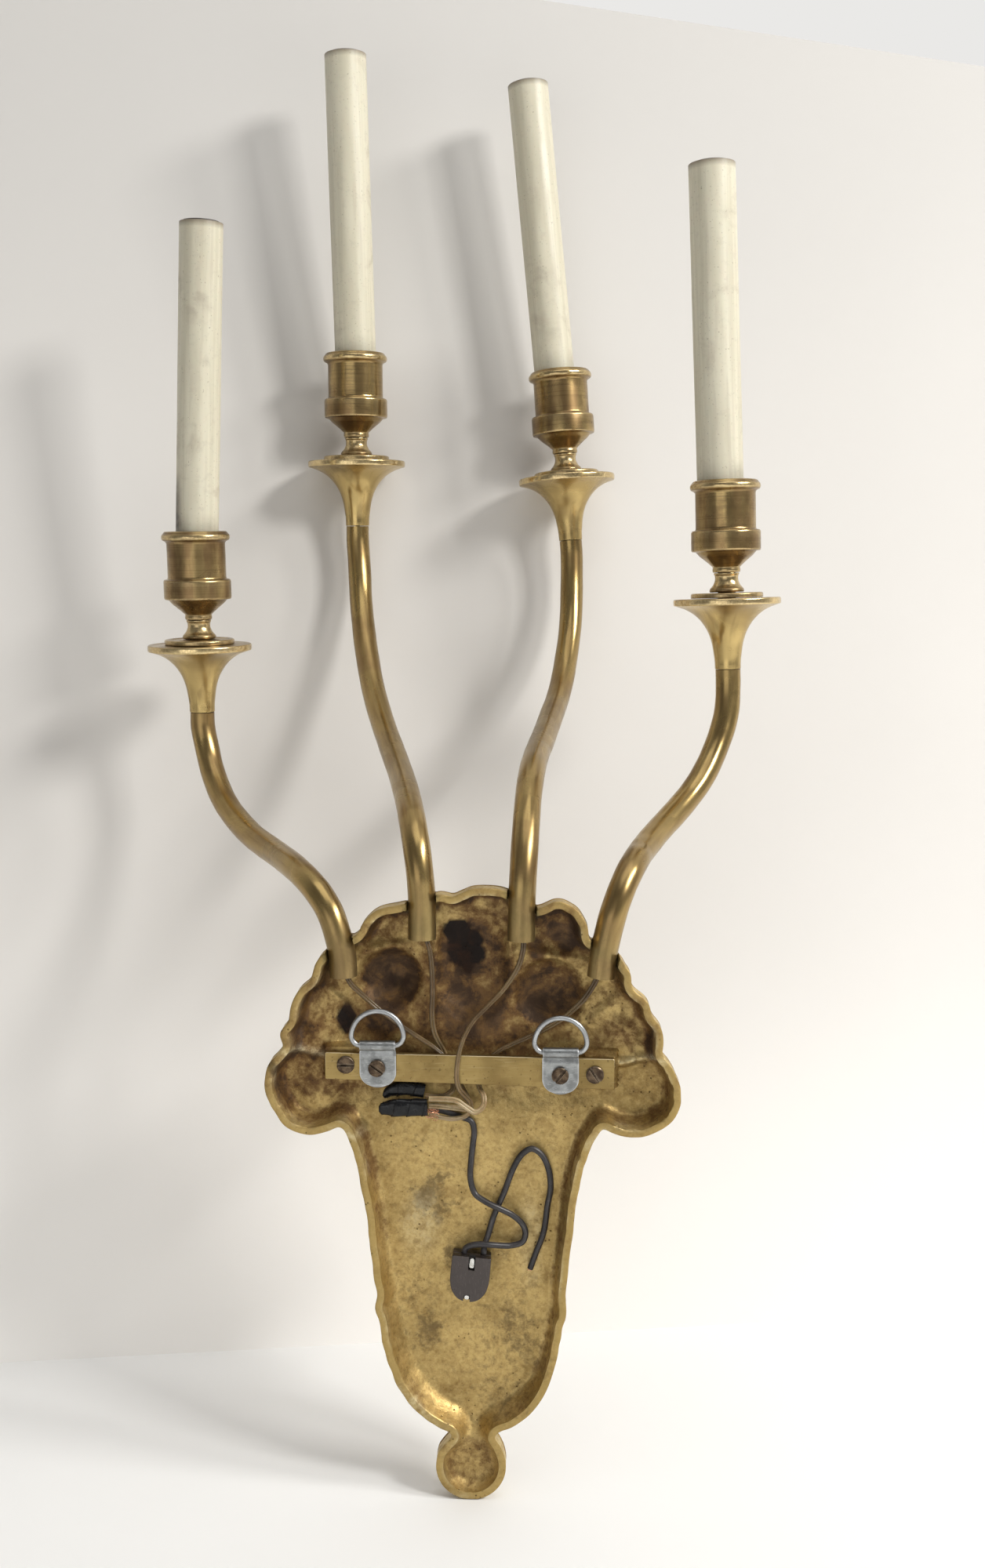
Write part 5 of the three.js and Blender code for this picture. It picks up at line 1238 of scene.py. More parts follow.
    # painted highlights: sheen along the lower-left wall of the stem, bright lines on the ridges and on the rim's inner
    # edge, soft highlight patches on the stem and finial; on the front the mask marks rubbed high spots, and the outer
    # wall is a little lighter all round
    sheen_and_wear = np.zeros(n)
    dsh = seg_dist(Q, np.array([[36.6, -203.4]]), np.array([[13.1, -231.6]]))
    sheen_and_wear += 0.55 * np.exp(-(dsh / 3.4) ** 2) * smooth(vnoise(Q + 60, 2.2, 3), -0.30, 0.35)
    sheen_and_wear += 0.5 * (ridge(Q, (71.9, -62.4), (57.9, -66.5), 1, 2.2) + ridge(Q, (-69.4, -62), (-59.6, -69.7), 1, 2.2))
    sheen_and_wear += 0.5 * (ridge(Q, (101, -20.5), (78.1, -25.7), 1, 1.8) + ridge(Q, (-100.8, -24), (-76.5, -30), 1, 1.8))
    sheen_and_wear += 0.45 * np.exp(-((s - 3.8) / 0.7) ** 2) * smooth(vnoise(Q + 64, 12, 2), -0.2, 0.5)
    sheen_and_wear += 0.30 * spot(27, -117, 9, 16, 0.6, 71) + 0.25 * spot(-30, -125, 6, 22, 0.6, 73) + 0.3 * spot(11, -262, 10, 3, 0.6, 75)
    rim = 1 - smooth(s, 3.6, 4.3)
    grime = np.exp(-(np.clip(td - 7.4, 0, None) / 2.2) ** 2) * (1 - smooth(s, 4.5, 10)) * 0.8
    zero = np.zeros(n)
    hi = np.clip((F - full_depth(Q)) * 0.35, 0, 1)
    fdirt = np.clip(0.35 - (F - full_depth(Q)) * 0.5, 0, 1)
    k = len(levels)
    wdirt = np.tile(0.15 + 0.2 * np.clip(vnoise(Q[on], 12, 2), 0, 1), k)
    A = dict(
        tarnish_and_shade=np.r_[np.clip(tarnish_and_shade, 0, 1), fdirt, wdirt], pitch=np.r_[pitch, zero, np.zeros(nb * k)],
        stain=np.r_[stain, zero, np.zeros(nb * k)],
        sheen_and_wear=np.r_[np.clip(sheen_and_wear, 0, 1), hi * 0.6, np.full(nb * k, 0.30)], rim=np.r_[rim, zero, np.full(nb * k, 0.6)],
        grime=np.r_[grime, zero, np.zeros(nb * k)], front=np.r_[zero, np.ones(n), np.zeros(nb * k)])
    return build("casting", V, faces, CAST, "root", "backplate", angle=50, attrs=A)


casting = make_backplate()

# ------------------------------------------------------------------ arms
TRUMPET = [[5.6, -38, 0], [7.3, -38, .2], [7.4, -33, 2], [8.8, -23, 4], [11, -16.5, 3], [14.4, -11, 3], [18.6, -6.8, 3],
           [23.4, -3.9, 3], [29.0, -2.0, .5], [30.0, -1.9, .5], [30.2, -0.9, .5], [30.2, 1.1, .4], [29.7, 1.8, .3],
           [28.2, 1.55, .4], [24.0, 1.55, .4], [22.8, 1.8, .3], [5.6, 1.8, 0]]
STEP = [[5.6, 2.1, 0], [20.3, 2.1, .3], [20.3, 4.3, .5], [19.5, 4.9, .4], [17.4, 4.75, .4], [16.6, 4.3, .4], [12.4, 4.3, .4], [11.6, 4.85, .4], [5.6, 4.9, 0]]
NECK = [[5.5, 5.2, 0], [9.5, 5.2, .3], [9.8, 6.3, .6], [9.3, 7.4, .8], [7.7, 9.1, 1.4], [6.6, 11.6, 1.4], [6.5, 13.4, 1], [6.7, 14.6, .5], [7.15, 15.2, .3], [7.1, 16, .2], [5.5, 16, 0]]
CUP = [[5.5, 16.3, 0], [7.6, 16.3, .3], [7.9, 17.6, .6], [7.6, 19.2, .5], [10.6, 22.0, 2], [15, 25.6, 2], [16.3, 27.1, .6], [17.0, 27.9, .3], [19.2, 28.2, .4],
       [19.5, 29.2, .5], [19.5, 38.7, .6], [19.0, 39.6, .4], [17.2, 40.0, .3], [16.9, 40.9, .5], [16.9, 60.6, 1.2], [17.6, 61.6, .5], [19.3, 62.4, .6],
       [19.8, 63.6, .6], [19.6, 65.2, .6], [18.6, 66.2, .5], [18.2, 66.9, .3], [17.4, 67.4, .3], [16.2, 67.4, .3], [16, 66.4, .3], [16, 38.3, .4], [5.5, 38.3, 0]]


def turned(name, profile, seg, origin, axis, mat, slot, node, attrs_of=None, wob=0.03, body="root", seed=0):
    prof = fillet(profile, 0.4, 4)
    # extra rings on long plain runs carry the attributes
    P = []
    for i in range(len(prof)):
        a, b = prof[i], prof[(i + 1) % len(prof)]
        P.append(a)
        L = np.linalg.norm(b - a)
        for k in range(1, int(L // 3)):
            P.append(a + (b - a) * k / int(L // 3))
    P = np.array(P)
    ph = seed * 1.7
    V, F = lathe(P.tolist(), seg, origin, axis, wobble=lambda t, h, r: wob * (np.sin(3 * t + h * 0.11 + ph) + 0.5 * np.sin(7 * t - h * 0.3 + ph)))
    R, H = np.repeat(P[:, 0], seg), np.repeat(P[:, 1], seg)
    T = np.tile(np.arange(seg) / seg * 2 * np.pi, len(P))
    tuv = np.stack([np.cos(T) * 14, H, np.sin(T) * 14], 1)
    return V, F, R, H, T, tuv


for i, a in enumerate(ARMS):
    n = f"arm_{i + 1}_"
    D, AX = np.array(a["disc"]), np.array(a["axis"]) / np.linalg.norm(a["axis"])
    # bent tube
    path = arm_paths[i]
    q = np.arange(len(path))
    rad = TUBE_R - 0.06 + 0.05 * np.sin(q * 0.21 + i) + 0.03 * np.sin(q * 0.53)
    V, F, uv = tube(path, rad, 40, bore=(BORE_R, 24))
    uv = uv + np.array([0, 0, 700.0 * i])
    Y = V[:, 1]
    low = (1 - smooth(np.linalg.norm(V - path[0], axis=1), 10, 42))
    build(n + "bent_tube", V, F, TUBE, "root", n + "tube", attrs=dict(tuv=uv, grime=0.35 * low))
    # turned parts
    for key, prof, seg in (("trumpet", TRUMPET, 128), ("step_disc", STEP, 112), ("neck", NECK, 96), ("cup", CUP, 128)):
        V, F, R, H, T, tuv = turned(n + key, prof, seg, D, AX, TURNED, "turned_brass", n + key, seed=i)
        tuv = tuv + np.array([90.0 * i, 0, 60.0 * i])
        edge = np.zeros(len(R))
        under = np.zeros(len(R))
        if key == "trumpet":
            edge = np.exp(-((R - 30.2) / 0.5) ** 2) * (H > -1.9)
            under = (1 - smooth(H, -2.4, -0.5)) * (R > 6)
        elif key == "step_disc":
            edge = np.exp(-((R - 20.1) / 0.5) ** 2) * 0.6
        elif key == "neck":
            edge = 0.55 * smooth(H, 7, 9) + 0.1
        else:
            edge = 0.75 * np.exp(-((R - 19.7) / 0.35) ** 2) * (H > 60) + 0.55 * np.exp(-((R - 19.5) / 0.2) ** 2) * np.exp(-((H - 38.9) / 0.7) ** 2)
            edge += 0.5 * np.exp(-((R - 19.4) / 0.3) ** 2) * np.exp(-((H - 28.6) / 0.6) ** 2) + 0.4 * np.exp(-((H - 67.3) / 0.3) ** 2) + 0.35 * (H < 20)
        build(n + key + "_part", V, F, TURNED, "root", n + key, angle=45, attrs=dict(tuv=tuv, edge=np.clip(edge, 0, 1), under=under))
    # candle sleeve, a thin tube with a slightly rolled top edge
    sb, sx = np.array(a["rim"]), np.array(a["sleeve_axis"]) / np.linalg.norm(a["sleeve_axis"])
    ro, top = a["dia"] / 2, a["top"]
    ri = ro - 0.9
    prof = [[ri, -28.2, .1], [ro, -28.2, .2]] + [[ro, h, 0] for h in np.linspace(-20, top - 4, 26)] + [[ro, top - 0.1, .35], [ri, top - 0.1, .35]] + [[ri, h, 0] for h in np.linspace(top - 5, -20, 12)]
    prof = fillet(prof, 0.3, 3)
    seg = 96
    V, F = lathe(prof.tolist(), seg, sb, sx, wobble=lambda t, h, r: 0.05 * np.sin(2 * t + h * 0.012 + i) + 0.03 * np.sin(5 * t - h * 0.05))
    R, H = np.repeat(prof[:, 0], seg), np.repeat(prof[:, 1], seg)
    T = np.tile(np.arange(seg) / seg * 2 * np.pi, len(prof))
    tuv = np.stack([np.cos(T) * R + 80 * i, H, np.sin(T) * R], 1)
    edge = smooth(H, top - 1.6, top - 0.2)
    soot = 0.30 * np.exp(-((H - 1.5) / 3.0) ** 2) * (0.4 + 0.6 * np.sin(T * 2 + i) ** 2)
    if i == 0:
        # black stain low on the side away from the plate's middle
        g = V - sb
        soot = soot + 0.95 * smooth(g[:, 0] / ro, 0.45, 0.85) * smooth(H, -2, 4) * (1 - smooth(H, 20, 34))
    build(n + "candle_sleeve", V, F, SLEEVE, f"candle_sleeve_{i + 1}", n + "sleeve", attrs=dict(tuv=tuv, edge=edge, soot=np.clip(soot, 0, 1)))
    # lampholder with its threaded socket and contact
    hb = top + 0.8 - 55
    prof = [[2.4, hb, .2], [6.6, hb, .4], [7.4, hb + 5, .5], [10.4, hb + 9, 1], [10.8, hb + 10.4, .6], [10.8, hb + 53.9, .4], [10.3, hb + 55, .4], [8.4, hb + 55, .4], [7.9, hb + 54.2, .3], [7.9, hb + 29.5, .4], [7.2, hb + 28, .3], [2.4, hb + 28, .2]]
    prof = fillet(prof, 0.3, 3)
    V, F = lathe(prof.tolist(), 64, sb, sx)
    build(n + "holder_body", V, F, HOLDER, "root", n + "lampholder")
    z = np.linspace(hb + 29.6, hb + 53.6, 120)
    inner = [[7.05 + 0.28 * math.sin((h - hb) / 2.6 * 2 * math.pi), h] for h in z]
    prof = [[7.75, z[0]]] + [[7.75, z[-1]]] + inner[::-1]
    V, F = lathe(prof, 48, sb, sx)
    build(n + "socket_thread", V, F, SOCKET, "root")
    V, F = lathe(fillet([[0, hb + 28.2, 0], [2.9, hb + 28.2, .2], [3.0, hb + 29.6, .4], [1.6, hb + 30.4, .4], [0, hb + 30.5, 0]], 0.3, 3).tolist(), 32, sb, sx)
    build(n + "socket_contact", V, F, SOCKET, "root")


# ------------------------------------------------------------------ strap, screws and hangers
def prism(name, pts, y0, y1, bevel, mat, slot, node, body="root", segs=3, attrs=None, cuts=0, holes=(), angle=35):
    """Flat part with rounded edges; pts are [x, z] and y0 is the side towards the wall."""
    bm = bmesh.new()
    vs = [bm.verts.new((x * MM, y0 * MM, z * MM)) for x, z in pts]
    f = bm.faces.new(vs)
    r = bmesh.ops.extrude_face_region(bm, geom=[f])
    bmesh.ops.translate(bm, vec=(0, (y1 - y0) * MM, 0), verts=[v for v in r["geom"] if isinstance(v, bmesh.types.BMVert)])
    bmesh.ops.recalc_face_normals(bm, faces=bm.faces)
    sharp = [e for e in bm.edges if e.calc_face_angle(0) > math.radians(50)]
    if bevel:
        bmesh.ops.bevel(bm, geom=sharp, offset=bevel * MM, segments=segs, profile=0.6, affect="EDGES", clamp_overlap=True)
    me = bpy.data.meshes.new(name)
    bm.to_mesh(me)
    bm.free()
    me.polygons.foreach_set("use_smooth", [True] * len(me.polygons))
    me.set_sharp_from_angle(angle=math.radians(angle))
    o = bpy.data.objects.new(name, me)
    bpy.context.scene.collection.objects.link(o)
    o.data.materials.append(mat)
    return o


def edge_attr(o, fn):
    me = o.data
    co = np.empty(len(me.vertices) * 3, np.float32)
    me.vertices.foreach_get("co", co)
    v = fn(co.reshape(-1, 3) / MM)
    if "edge" not in me.attributes:
        me.attributes.new("edge", "FLOAT", "POINT")
    me.attributes["edge"].data.foreach_set("value", np.asarray(v, np.float32))


strap_pts = fillet([[*p, 0.8] for p in STRAP], 0.8, 3)
# the long sides are cut into short lengths so that they can be a little uneven
dense = []
for k in range(len(strap_pts)):
    a, b = strap_pts[k], strap_pts[(k + 1) % len(strap_pts)]
    L = np.linalg.norm(b - a)
    m = max(1, int(L / 4))
    for j in range(m):
        dense.append(a + (b - a) * j / m)
dense = np.array(dense)
strap = prism("strap", dense.tolist(), -5.6, -9.2, 0.45, BAR, "bar_brass", "hanging_strap")
finish_piece(strap, "root", "hanging_strap")
# painted highlight: the bevel of the back edge is marked on the upper half of the strap only
edge_attr(strap, lambda c: smooth(c[:, 1], -6.0, -5.75) * (1 - smooth(c[:, 1], -5.66, -5.61)) * smooth(c[:, 2], -31, -27))


def slotted(name, x, z, under, shank, R, H, shank_r, deg, mat, node, width=1.35, deep=1.7, domed=0.6):
    dome = [[R - 0.25, 0], [R, 0.25], [R, H * domed], [R - 0.35, H * (domed + 0.12)]]
    for k in range(1, 8):
        t = k / 8
        r = (R - 0.35) * math.cos(t * math.pi / 2)
        dome.append([r, H * (domed + 0.12) + H * (0.88 - domed) * math.sin(t * math.pi / 2)])
    prof = [[0, -shank], [shank_r - 0.5, -shank], [shank_r, -shank + 0.8], [shank_r, 0]] + dome + [[0, H]]
    V, F = lathe(prof, 64, (x, under, z), (0, 1, 0))
    o = raw(name, V, F)
    c, s = math.cos(math.radians(deg)), math.sin(math.radians(deg))
    # slot runs along (c, 0, s) across the head
    e1, e2, e3 = np.array([c, 0, s]), np.array([-s, 0, c]), np.array([0, 1.0, 0])
    o0 = np.array([x, under + H, z])
    cv = [o0 + e1 * a + e2 * b + e3 * d for a in (-2 * R, 2 * R) for b in (-width / 2, width / 2) for d in (-deep, 1.5)]
    cf = [(0, 1, 3, 2), (4, 6, 7, 5), (0, 4, 5, 1), (2, 3, 7, 6), (0, 2, 6, 4), (1, 5, 7, 3)]
    cutter = raw(name + "_c", cv, cf)
    boolean(o, cutter)
    o.data.materials.clear()
    o.data.materials.append(mat)

    def worn_and_slot_shade(co):
        g = co - o0
        across = np.abs(g @ e2)
        r = np.hypot(g @ e1, g @ e2)
        on_slot = np.exp(-((across - width / 2) / 0.12) ** 2) * (g[:, 1] > -0.7)
        # slot edges and head rim rubbed bright; the slot's bottom gets a negative value, painted shade
        return np.clip(0.55 * on_slot * (g[:, 1] > -0.35) + 0.4 * np.exp(-((r - R) / 0.3) ** 2) - 1.0 * (g[:, 1] < -1.1) * (r < R - 0.5), -1, 1)
    edge_attr(o, worn_and_slot_shade)
    finish_piece(o, "root", node)
    return o


for k, (x, z, t) in enumerate(STRAP_SCREWS):
    slotted(f"strap_bolt_{k + 1}", x, z, -5.55, 9.0, 4.6, 1.85, 2.2, t, SCREW, f"strap_screw_{k + 1}")
for k, (hx, hz, (sx_, sz_), t) in enumerate(HANGERS):
    slotted(f"hanger_bolt_{k + 1}", sx_, sz_, -4.25, 6.3, 4.4, 1.75, 2.0, t, SCREW, f"hanger_screw_{k + 1}", width=1.4)
    # folded sheet: round the ring's straight side, down the strap and out to a rounded tongue
    line = []
    for a_ in np.linspace(-62, 228, 40):
        r = 2.25
        line.append((-3.6 + r * math.cos(math.radians(a_)), hz + r * math.sin(math.radians(a_)), 0.0))
    lower = [(-4.95, hz - 2.9), (-4.80, hz - 3.8), (-4.72, hz - 4.8), (-4.45, hz - 5.6), (-4.50, hz - 6.4), (-4.78, hz - 7.2), (-4.8, hz - 8.4), (-4.8, hz - 10), (-4.8, hz - 12), (-4.8, hz - 14)]
    line += [(y, z, 0.0) for y, z in lower]
    tail = [(-4.8 + 0.32 * smooth(np.array(u), 0.62, 1.0), hz - 14.6 - 7.8 * math.sin(u * math.pi / 2)) for u in np.linspace(0, 0.995, 16)]
    line += [(float(y), z, 0.0) for y, z in tail]
    L = np.array([(y, z) for y, z, _ in line])
    s = np.r_[0, np.cumsum(np.linalg.norm(np.diff(L, axis=0), axis=1))]
    tan = np.gradient(L, axis=0)
    tan /= np.linalg.norm(tan, axis=1)[:, None]
    nor = np.stack([-tan[:, 1], tan[:, 0]], 1)
    half = []
    for (y, z) in L:
        w = 9.4
        dz = z - (hz - 14.6)
        if dz < 0:
            w = 9.4 * math.sqrt(max(0.0, 1 - (dz / 7.8) ** 2)) if -dz < 7.8 else 0.3
            w = max(w, 0.5)
        # the roll is a touch narrower than the leg
        if z > hz - 3.2:
            w = 9.15
        half.append(w)
    half = np.array(half)
    m, U = len(L), 19
    us = np.linspace(-1, 1, U)
    us = np.sign(us) * np.abs(us) ** 0.8
    V, F = [], []
    th_ = 0.46
    for side in (1, -1):
        for j in range(m):
            for u in us:
                e = th_ - 0.20 * smooth(np.array(abs(u)), 0.93, 1.0)
                V.append((hx + half[j] * u, L[j, 0] + side * nor[j, 0] * e, L[j, 1] + side * nor[j, 1] * e))
    V = np.array(V)
    sz = m * U
    for j in range(m - 1):
        for i in range(U - 1):
            a0 = j * U + i
            F.append((a0, a0 + 1, a0 + U + 1, a0 + U))
            F.append((sz + a0, sz + a0 + U, sz + a0 + U + 1, sz + a0 + 1))
    for j in range(m - 1):
        F.append((j * U, (j + 1) * U, sz + (j + 1) * U, sz + j * U))
        F.append(((j + 1) * U - 1, sz + (j + 1) * U - 1, sz + (j + 2) * U - 1, (j + 2) * U - 1))
    for i in range(U - 1):
        F.append((i, sz + i, sz + i + 1, i + 1))
        F.append(((m - 1) * U + i, (m - 1) * U + i + 1, sz + (m - 1) * U + i + 1, sz + (m - 1) * U + i))
    V[:, 1] += 0.03 * vnoise(V[:, [0, 2]] + 9, 3.0, 2)
    edge = np.tile(np.tile(smooth(np.abs(us), 0.9, 1.0), m) * 0.8 + np.repeat(smooth(s, s[-1] - 2.5, s[-1]) * 0.7, U), 2)
    build(f"hanger_{k + 1}", V, F, ZINC, "root", f"hanger_plate_{k + 1}", angle=40, attrs=dict(edge=np.clip(edge, 0, 1)))
    # ring
    loop = [[0, 0], [7.5, 0], [10.4, 0.5], [12.3, 2.0]] + [[13.45 * math.cos(math.pi * q / 12), 4.7 + 13.45 * math.sin(math.pi * q / 12)] for q in range(13)] + [[-12.3, 2.0], [-10.4, 0.5], [-7.5, 0]]
    path, _ = catmull([[hx + x_, -3.6, hz + z_] for x_, z_ in loop], 150, closed=True)
    V, F, uv = tube(path, 1.34, 20, closed=True, up=(0, 1, 0.01))
    build(f"ring_{k + 1}_wire", V, F, ZINC, f"ring_{k + 1}", f"hanging_ring_{k + 1}", attrs=dict(edge=np.full(len(V), 0.45)))

# ------------------------------------------------------------------ taped splices
def splice(name, points, ry, rz, taper, node, turns, seed):
    n, S = 130, 48
    path, _ = catmull(points, n)
    T = np.gradient(path, axis=0)
    T /= np.linalg.norm(T, axis=1)[:, None]
    Y = np.array([0, 1.0, 0]) - T * T[:, 1:2]
    Y /= np.linalg.norm(Y, axis=1)[:, None]
    W = np.cross(T, Y)
    V, F = [], []
    u = np.linspace(0, 1, n)
    t = np.arange(S) / S * 2 * np.pi
    for j in range(n):
        # the end away from the wires is pinched flat, the other is cut off and ragged
        w = taper + (1 - taper) * smooth(np.array(u[j]), 0.0, 0.34)
        tip = min(1.0, 0.30 + u[j] / 0.07)
        wrap = (u[j] * turns + t / (2 * np.pi)) % 1.0
        # each turn of tape lies over the one before, with a folded edge
        step = 0.42 * (1 - wrap) ** 2.2 - 0.12
        a, b = ry * w * (0.55 + 0.45 * tip), rz * w * tip ** 0.5
        ring = np.stack([a * np.sign(np.cos(t)) * np.abs(np.cos(t)) ** 0.85, b * np.sign(np.sin(t)) * np.abs(np.sin(t)) ** 0.85], 1)
        P0 = path[j] + ring[:, :1] * Y[j] + ring[:, 1:] * W[j]
        d = ring / (np.linalg.norm(ring, axis=1)[:, None] + 1e-9)
        off = 0.75 * vnoise(P0 * np.array([0.5, 1, 1]) + seed, 4.6, 3) + step - 0.45
        ring = ring + d * off[:, None]
        V.append(path[j] + ring[:, :1] * Y[j] + ring[:, 1:] * W[j])
    V = np.concatenate(V)
    for j in range(n - 1):
        for k in range(S):
            k2 = (k + 1) % S
            F.append((j * S + k, j * S + k2, (j + 1) * S + k2, (j + 1) * S + k))
    F.append(tuple(range(S - 1, -1, -1)))
    F.append(tuple(range((n - 1) * S, n * S)))
    return build(name, V, F, TAPE, "root", node, angle=30)


splice("splice_lower", [(48.2, -5.7, -52.6), (42, -5.7, -52.2), (34, -5.75, -52.0), (23.0, -5.75, -51.6)], 3.1, 5.1, 0.66, "taped_splice_1", 3.2, 3)
splice("splice_upper", [(46.2, -10.0, -47.4), (42.5, -10.4, -44.9), (37, -10.5, -43.3), (31, -10.4, -43.4), (24.8, -10.2, -44.6)], 2.5, 4.2, 0.55, "taped_splice_2", 2.6, 11)

# loose copper strands at the mouth of the lower splice
ends = []
for k in range(9):
    a = k / 9 * 2 * math.pi
    p0 = np.array([24.0, -5.4 + 1.3 * math.cos(a), -54.0 + 2.0 * math.sin(a)])
    d = np.array([-1.0, 0.10 + 0.20 * math.sin(a * 2), 0.25 * math.cos(a * 1.7) - 0.15])
    pts = [p0]
    for j in range(1, 6):
        w = rng.normal(0, 0.55, 3) * (0.5 + 0.2 * j)
        pts.append(p0 + d * (1.35 * j) + w * np.array([0.5, 0.45, 1.0]))
    path, L = catmull(pts, 26)
    path[:, 1] = np.clip(path[:, 1], -8.5, -1.4)
    V, F, uv = tube(path, 0.17, 8)
    build(f"strand_{k + 1}", V, F, COPPER, "root")

# ------------------------------------------------------------------ connector
bx, bz, w, h = BLOCK["x"], BLOCK["z"], BLOCK["w"], BLOCK["h"]
tilt = math.radians(BLOCK["tilt"])
outline = [[-w / 2, 0, .8], [w / 2, 0, .8], [w / 2 + 0.15, -h * 0.55, 3], [w / 2 - 1.2, -h * 0.78, 3], [w / 2 - 4.4, -h * 0.94, 3],
           [w / 2 - 8, -h, 3], [-w / 2 + 8, -h, 3], [-w / 2 + 4.4, -h * 0.94, 3], [-w / 2 + 1.2, -h * 0.78, 3], [-w / 2 - 0.15, -h * 0.55, 3]]
outline = fillet(outline, 1, 5)


def place(p):
    """Block coordinates [x, y, z] into the object's frame: turned about Y and moved."""
    p = np.atleast_2d(np.asarray(p, float))
    c, s = math.cos(tilt), math.sin(tilt)
    return np.stack([bx + c * p[:, 0] + s * p[:, 2], p[:, 1], bz - s * p[:, 0] + c * p[:, 2]], 1)


def place_obj(o):
    me = o.data
    co = np.empty(len(me.vertices) * 3)
    me.vertices.foreach_get("co", co)
    me.vertices.foreach_set("co", (place(co.reshape(-1, 3) / MM) * MM).ravel())
    me.update()


def box(name, x0, x1, y0, y1, z0, z1):
    v = [(x, y, z) for x in (x0, x1) for y in (y0, y1) for z in (z0, z1)]
    return raw(name, v, [(0, 1, 3, 2), (4, 6, 7, 5), (0, 4, 5, 1), (2, 3, 7, 6), (0, 2, 6, 4), (1, 5, 7, 3)])


inset = outline * np.array([0.985, 0.99]) + np.array([0, -0.1])
for nm, y0, y1, node in (("connector_lid", BLOCK["back"], BLOCK["split"] + 0.05, "connector_cover"), ("connector_body", BLOCK["split"] - 0.35, BLOCK["front"], "connector_base")):
    o = prism(nm, (outline if nm == "connector_lid" else inset).tolist(), y0, y1, 0.55, PLASTIC, "connector_plastic", node, angle=40)
    if nm == "connector_lid":
        boolean(o, box("c1", -2.1, 1.3, BLOCK["split"] + 1.6, 3, -7.2, 3))
        boolean(o, box("c2", -1.1, 2.3, BLOCK["split"] + 1.6, 3, -h - 3, -h + 3.6))
    else:
        # lathe shapes for two wire entries in the lower half; they are computed but not added to the part or cut into
        # it
        for ex in (-7.2, 6.0):
            V, F = lathe([[0, -9], [1.75, -9], [1.75, 3], [0, 3]], 24, (ex, BLOCK["split"] - 0.6, 0), (0, 0, 1))
    o.data.materials.clear()
    o.data.materials.append(PLASTIC)
    place_obj(o)
    edge_attr(o, lambda c: np.exp(-((c[:, 1] - y0) / 0.35) ** 2))
    finish_piece(o, "root", node)
for k, (cx, cz) in enumerate(((-0.4, -4.6), (0.6, -h + 1.7))):
    p = place([cx, 0, cz])[0]
    slotted(f"connector_bolt_{k + 1}", p[0], p[2], BLOCK["split"] + 1.95, 4.0, 1.35, 1.5, 1.1, 5.4, BRIGHT, f"connector_screw_{k + 1}", width=0.5, deep=0.6)

for k, (cx, z0, z1) in enumerate(((-0.4, -1.2, -6.6), (0.6, -h + 0.7, -h + 3.0))):
    pill = fillet([[cx - 1.25, z0, 1.2], [cx + 1.25, z0, 1.2], [cx + 1.25, z1, 1.2], [cx - 1.25, z1, 1.2]], 1.2, 5)
    o = prism(f"terminal_{k + 1}", pill.tolist(), BLOCK["split"] + 3.6, BLOCK["split"] + 1.75, 0.3, BRIGHT, "bright_screw", None)
    place_obj(o)
    edge_attr(o, lambda c: 0 * c[:, 0])
    finish_piece(o, "root", ())

# copper ends in the open end of the second cord
pe = path_b[-1]
te = path_b[-1] - path_b[-4]
te /= np.linalg.norm(te)
for k, off in enumerate((-0.55, 0.55)):
    side = np.cross(te, [0, 1, 0])
    side /= np.linalg.norm(side)
    p = np.array([pe - te * 0.4 + side * off, pe + te * 0.3 + side * off, pe + te * (1.0 + 0.2 * k) + side * off * 1.2])
    V, F, uv = tube(catmull(p, 8)[0], 0.36, 12)
    build(f"cord_end_{k + 1}", V, F, COPPER, "root")

# ------------------------------------------------------------------ parts of the model shown as they are
for nm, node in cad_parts.items():
    finish_ = ROD if "candle_rod" in nm else FLEX if "inner_wire" in nm else None
    if finish_ is not None:
        node.data.materials.clear()
        node.data.materials.append(finish_)

# ------------------------------------------------------------------ floor, backdrop and light
def stage_mat(name, color, color2, one_sided=False, rough=0.9, scale=3.0, painted_falloff=None):
    m = Mat(name)
    n1 = m.noise(scale, 4, 0.5)
    n2 = m.noise(scale * 60, 3, 0.6)
    c = m.mix(m.range(n1, 0.3, 0.7), color, color2)
    # painted light falloff on the backdrop: lighter towards the bottom, darker towards the top
    if painted_falloff:
        zz = m.sep()[2]
        c = m.mix(m.range(zz, -0.30, 0.12, 1.0, 0.0), c, painted_falloff[0])
        c = m.mix(m.range(zz, 0.10, 0.62), c, painted_falloff[1])
    m.set(color=c, rough=rough, spec=0.15, normal=m.bump(n2, 0.0002, 0.2))
    if one_sided:
        geo = m.t.nodes.new("ShaderNodeNewGeometry")
        tr = m.t.nodes.new("ShaderNodeBsdfTransparent")
        mx = m.t.nodes.new("ShaderNodeMixShader")
        m.t.links.new(geo.outputs["Backfacing"], mx.inputs[0])
        m.t.links.new(m.b.outputs[0], mx.inputs[1])
        m.t.links.new(tr.outputs[0], mx.inputs[2])
        m.t.links.new(mx.outputs[0], m.out.inputs[0])
    return m.m


FLOOR_Z = -0.2632
R3 = Matrix(((right.x, up.x, -fwd.x), (right.y, up.y, -fwd.y), (right.z, up.z, -fwd.z)))


def ray(px, py):
    f = cam_data.lens / cam_data.sensor_width * 2000
    return R3 @ Vector(((px - 628) / f, (1000 - py) / f, -1))


def on_floor(px, py):
    d = ray(px, py)
    return CAM + d * ((FLOOR_Z - CAM.z) / d.z)


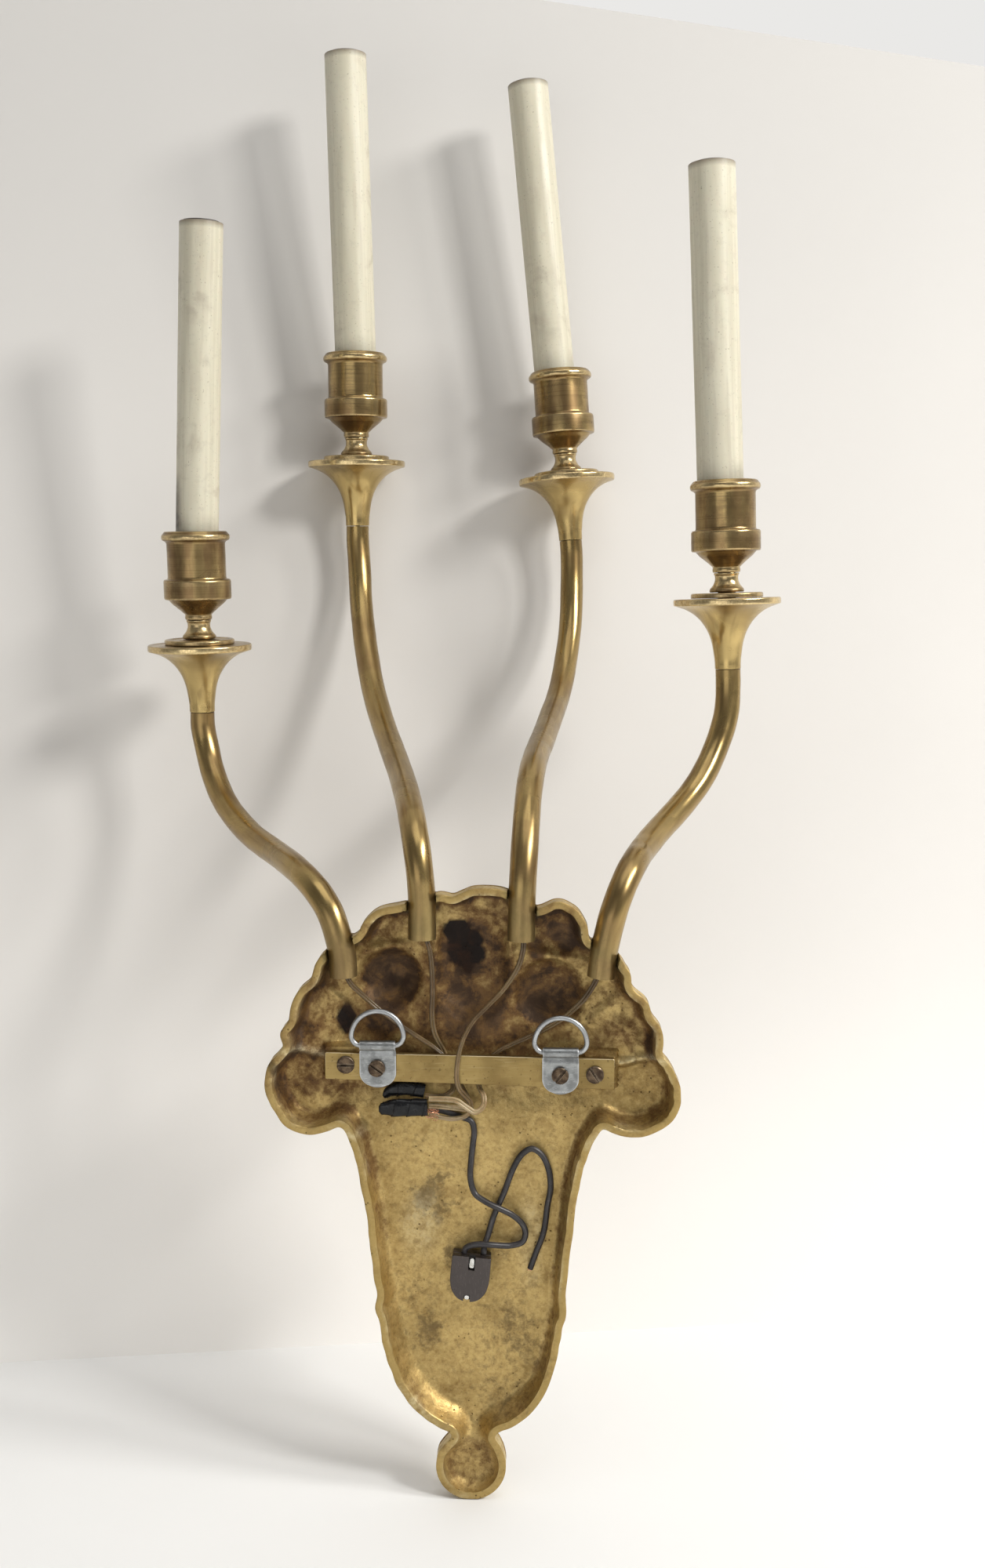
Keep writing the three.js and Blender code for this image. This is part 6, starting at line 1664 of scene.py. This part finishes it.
fm = bpy.data.meshes.new("floor")
fm.from_pydata([(-3, -1.6, FLOOR_Z), (3, -1.6, FLOOR_Z), (3, 3, FLOOR_Z), (-3, 3, FLOOR_Z)], [], [(0, 1, 2, 3)])
floor = bpy.data.objects.new("floor", fm)
bpy.context.scene.collection.objects.link(floor)
floor.data.materials.append(stage_mat("floor_paint", srgb(241, 241, 240), srgb(238, 238, 237)))

A0, B0 = on_floor(0, 1738), on_floor(1256, 1672)
e = (B0 - A0).normalized()
nrm = Vector((-e.y, e.x, 0))
if nrm.y < 0:
    nrm = -nrm
lean = math.radians(6.7)
rise = (Vector((0, 0, 1)) * math.cos(lean) - nrm * math.sin(lean)).normalized()
bn = e.cross(rise)
if bn.y < 0:
    bn = -bn


def on_board(px, py):
    d = ray(px, py)
    return CAM + d * ((A0 - CAM).dot(bn) / d.dot(bn))


T1, T2 = on_board(690, 0), on_board(1256, 85)
te_ = (T2 - T1).normalized()
# lower corners well past the picture, upper edge along the line seen in the picture
lo0, lo1 = A0 - e * 1.2, B0 + e * 1.2
hi0, hi1 = T1 - te_ * 1.6, T2 + te_ * 1.4
bmh = bpy.data.meshes.new("backdrop")
quad = [lo0, lo1, hi1, hi0]
if (quad[1] - quad[0]).cross(quad[2] - quad[0]).dot(bn) < 0:
    quad = quad[::-1]
bmh.from_pydata([tuple(q) for q in quad], [], [(0, 1, 2, 3)])
board = bpy.data.objects.new("backdrop", bmh)
bpy.context.scene.collection.objects.link(board)
# the backdrop's paint carries a painted falloff, light low and dark high
board.data.materials.append(stage_mat("backdrop_paint", srgb(222, 219, 215), srgb(218, 215, 211), one_sided=True, painted_falloff=((0.95, 0.93, 0.90), (0.585, 0.57, 0.548))))


def area(name, loc, at, size, power, color=(1, 1, 1)):
    l = bpy.data.lights.new(name, "AREA")
    l.shape, l.size, l.size_y, l.energy, l.color = "RECTANGLE", size[0], size[1], power, color
    o = bpy.data.objects.new(name, l)
    bpy.context.scene.collection.objects.link(o)
    o.location = loc
    o.rotation_euler = (Vector(at) - Vector(loc)).to_track_quat("-Z", "Y").to_euler()
    return o


area("key", (-1.62, 1.12, 1.36), (0, -0.1, 0.05), (0.42, 0.42), 29, (1.0, 0.985, 0.955))
area("key_low", (-1.80, 0.52, 1.42), (0, -0.1, 0.05), (0.42, 0.42), 20, (1.0, 0.985, 0.955))
area("fill", (0.7, 1.9, 0.05), (0, -0.05, -0.05), (1.4, 0.9), 5.0, (1.0, 0.99, 0.98))
area("over", (-0.2, 0.6, 1.9), (0, 0.3, -0.266), (1.6, 1.3), 8.6)
world = bpy.data.worlds.new("world")
bpy.context.scene.world = world
world.use_nodes = True
wt = world.node_tree
bg = wt.nodes["Background"]
tc = wt.nodes.new("ShaderNodeTexCoord")
sp_ = wt.nodes.new("ShaderNodeSeparateXYZ")
mr = wt.nodes.new("ShaderNodeMapRange")
mr.interpolation_type = "SMOOTHSTEP"
wt.links.new(tc.outputs["Generated"], sp_.inputs[0])
wt.links.new(sp_.outputs[1], mr.inputs[0])
for k_, v_ in enumerate((-0.55, 0.5, 0.84, 0.20)):
    mr.inputs[k_ + 1].default_value = v_
wt.links.new(mr.outputs[0], bg.inputs[1])
bg.inputs[0].default_value = (0.98, 0.97, 0.95, 1)
scene = bpy.context.scene
scene.view_settings.view_transform = "Standard"
scene.view_settings.look = "None"
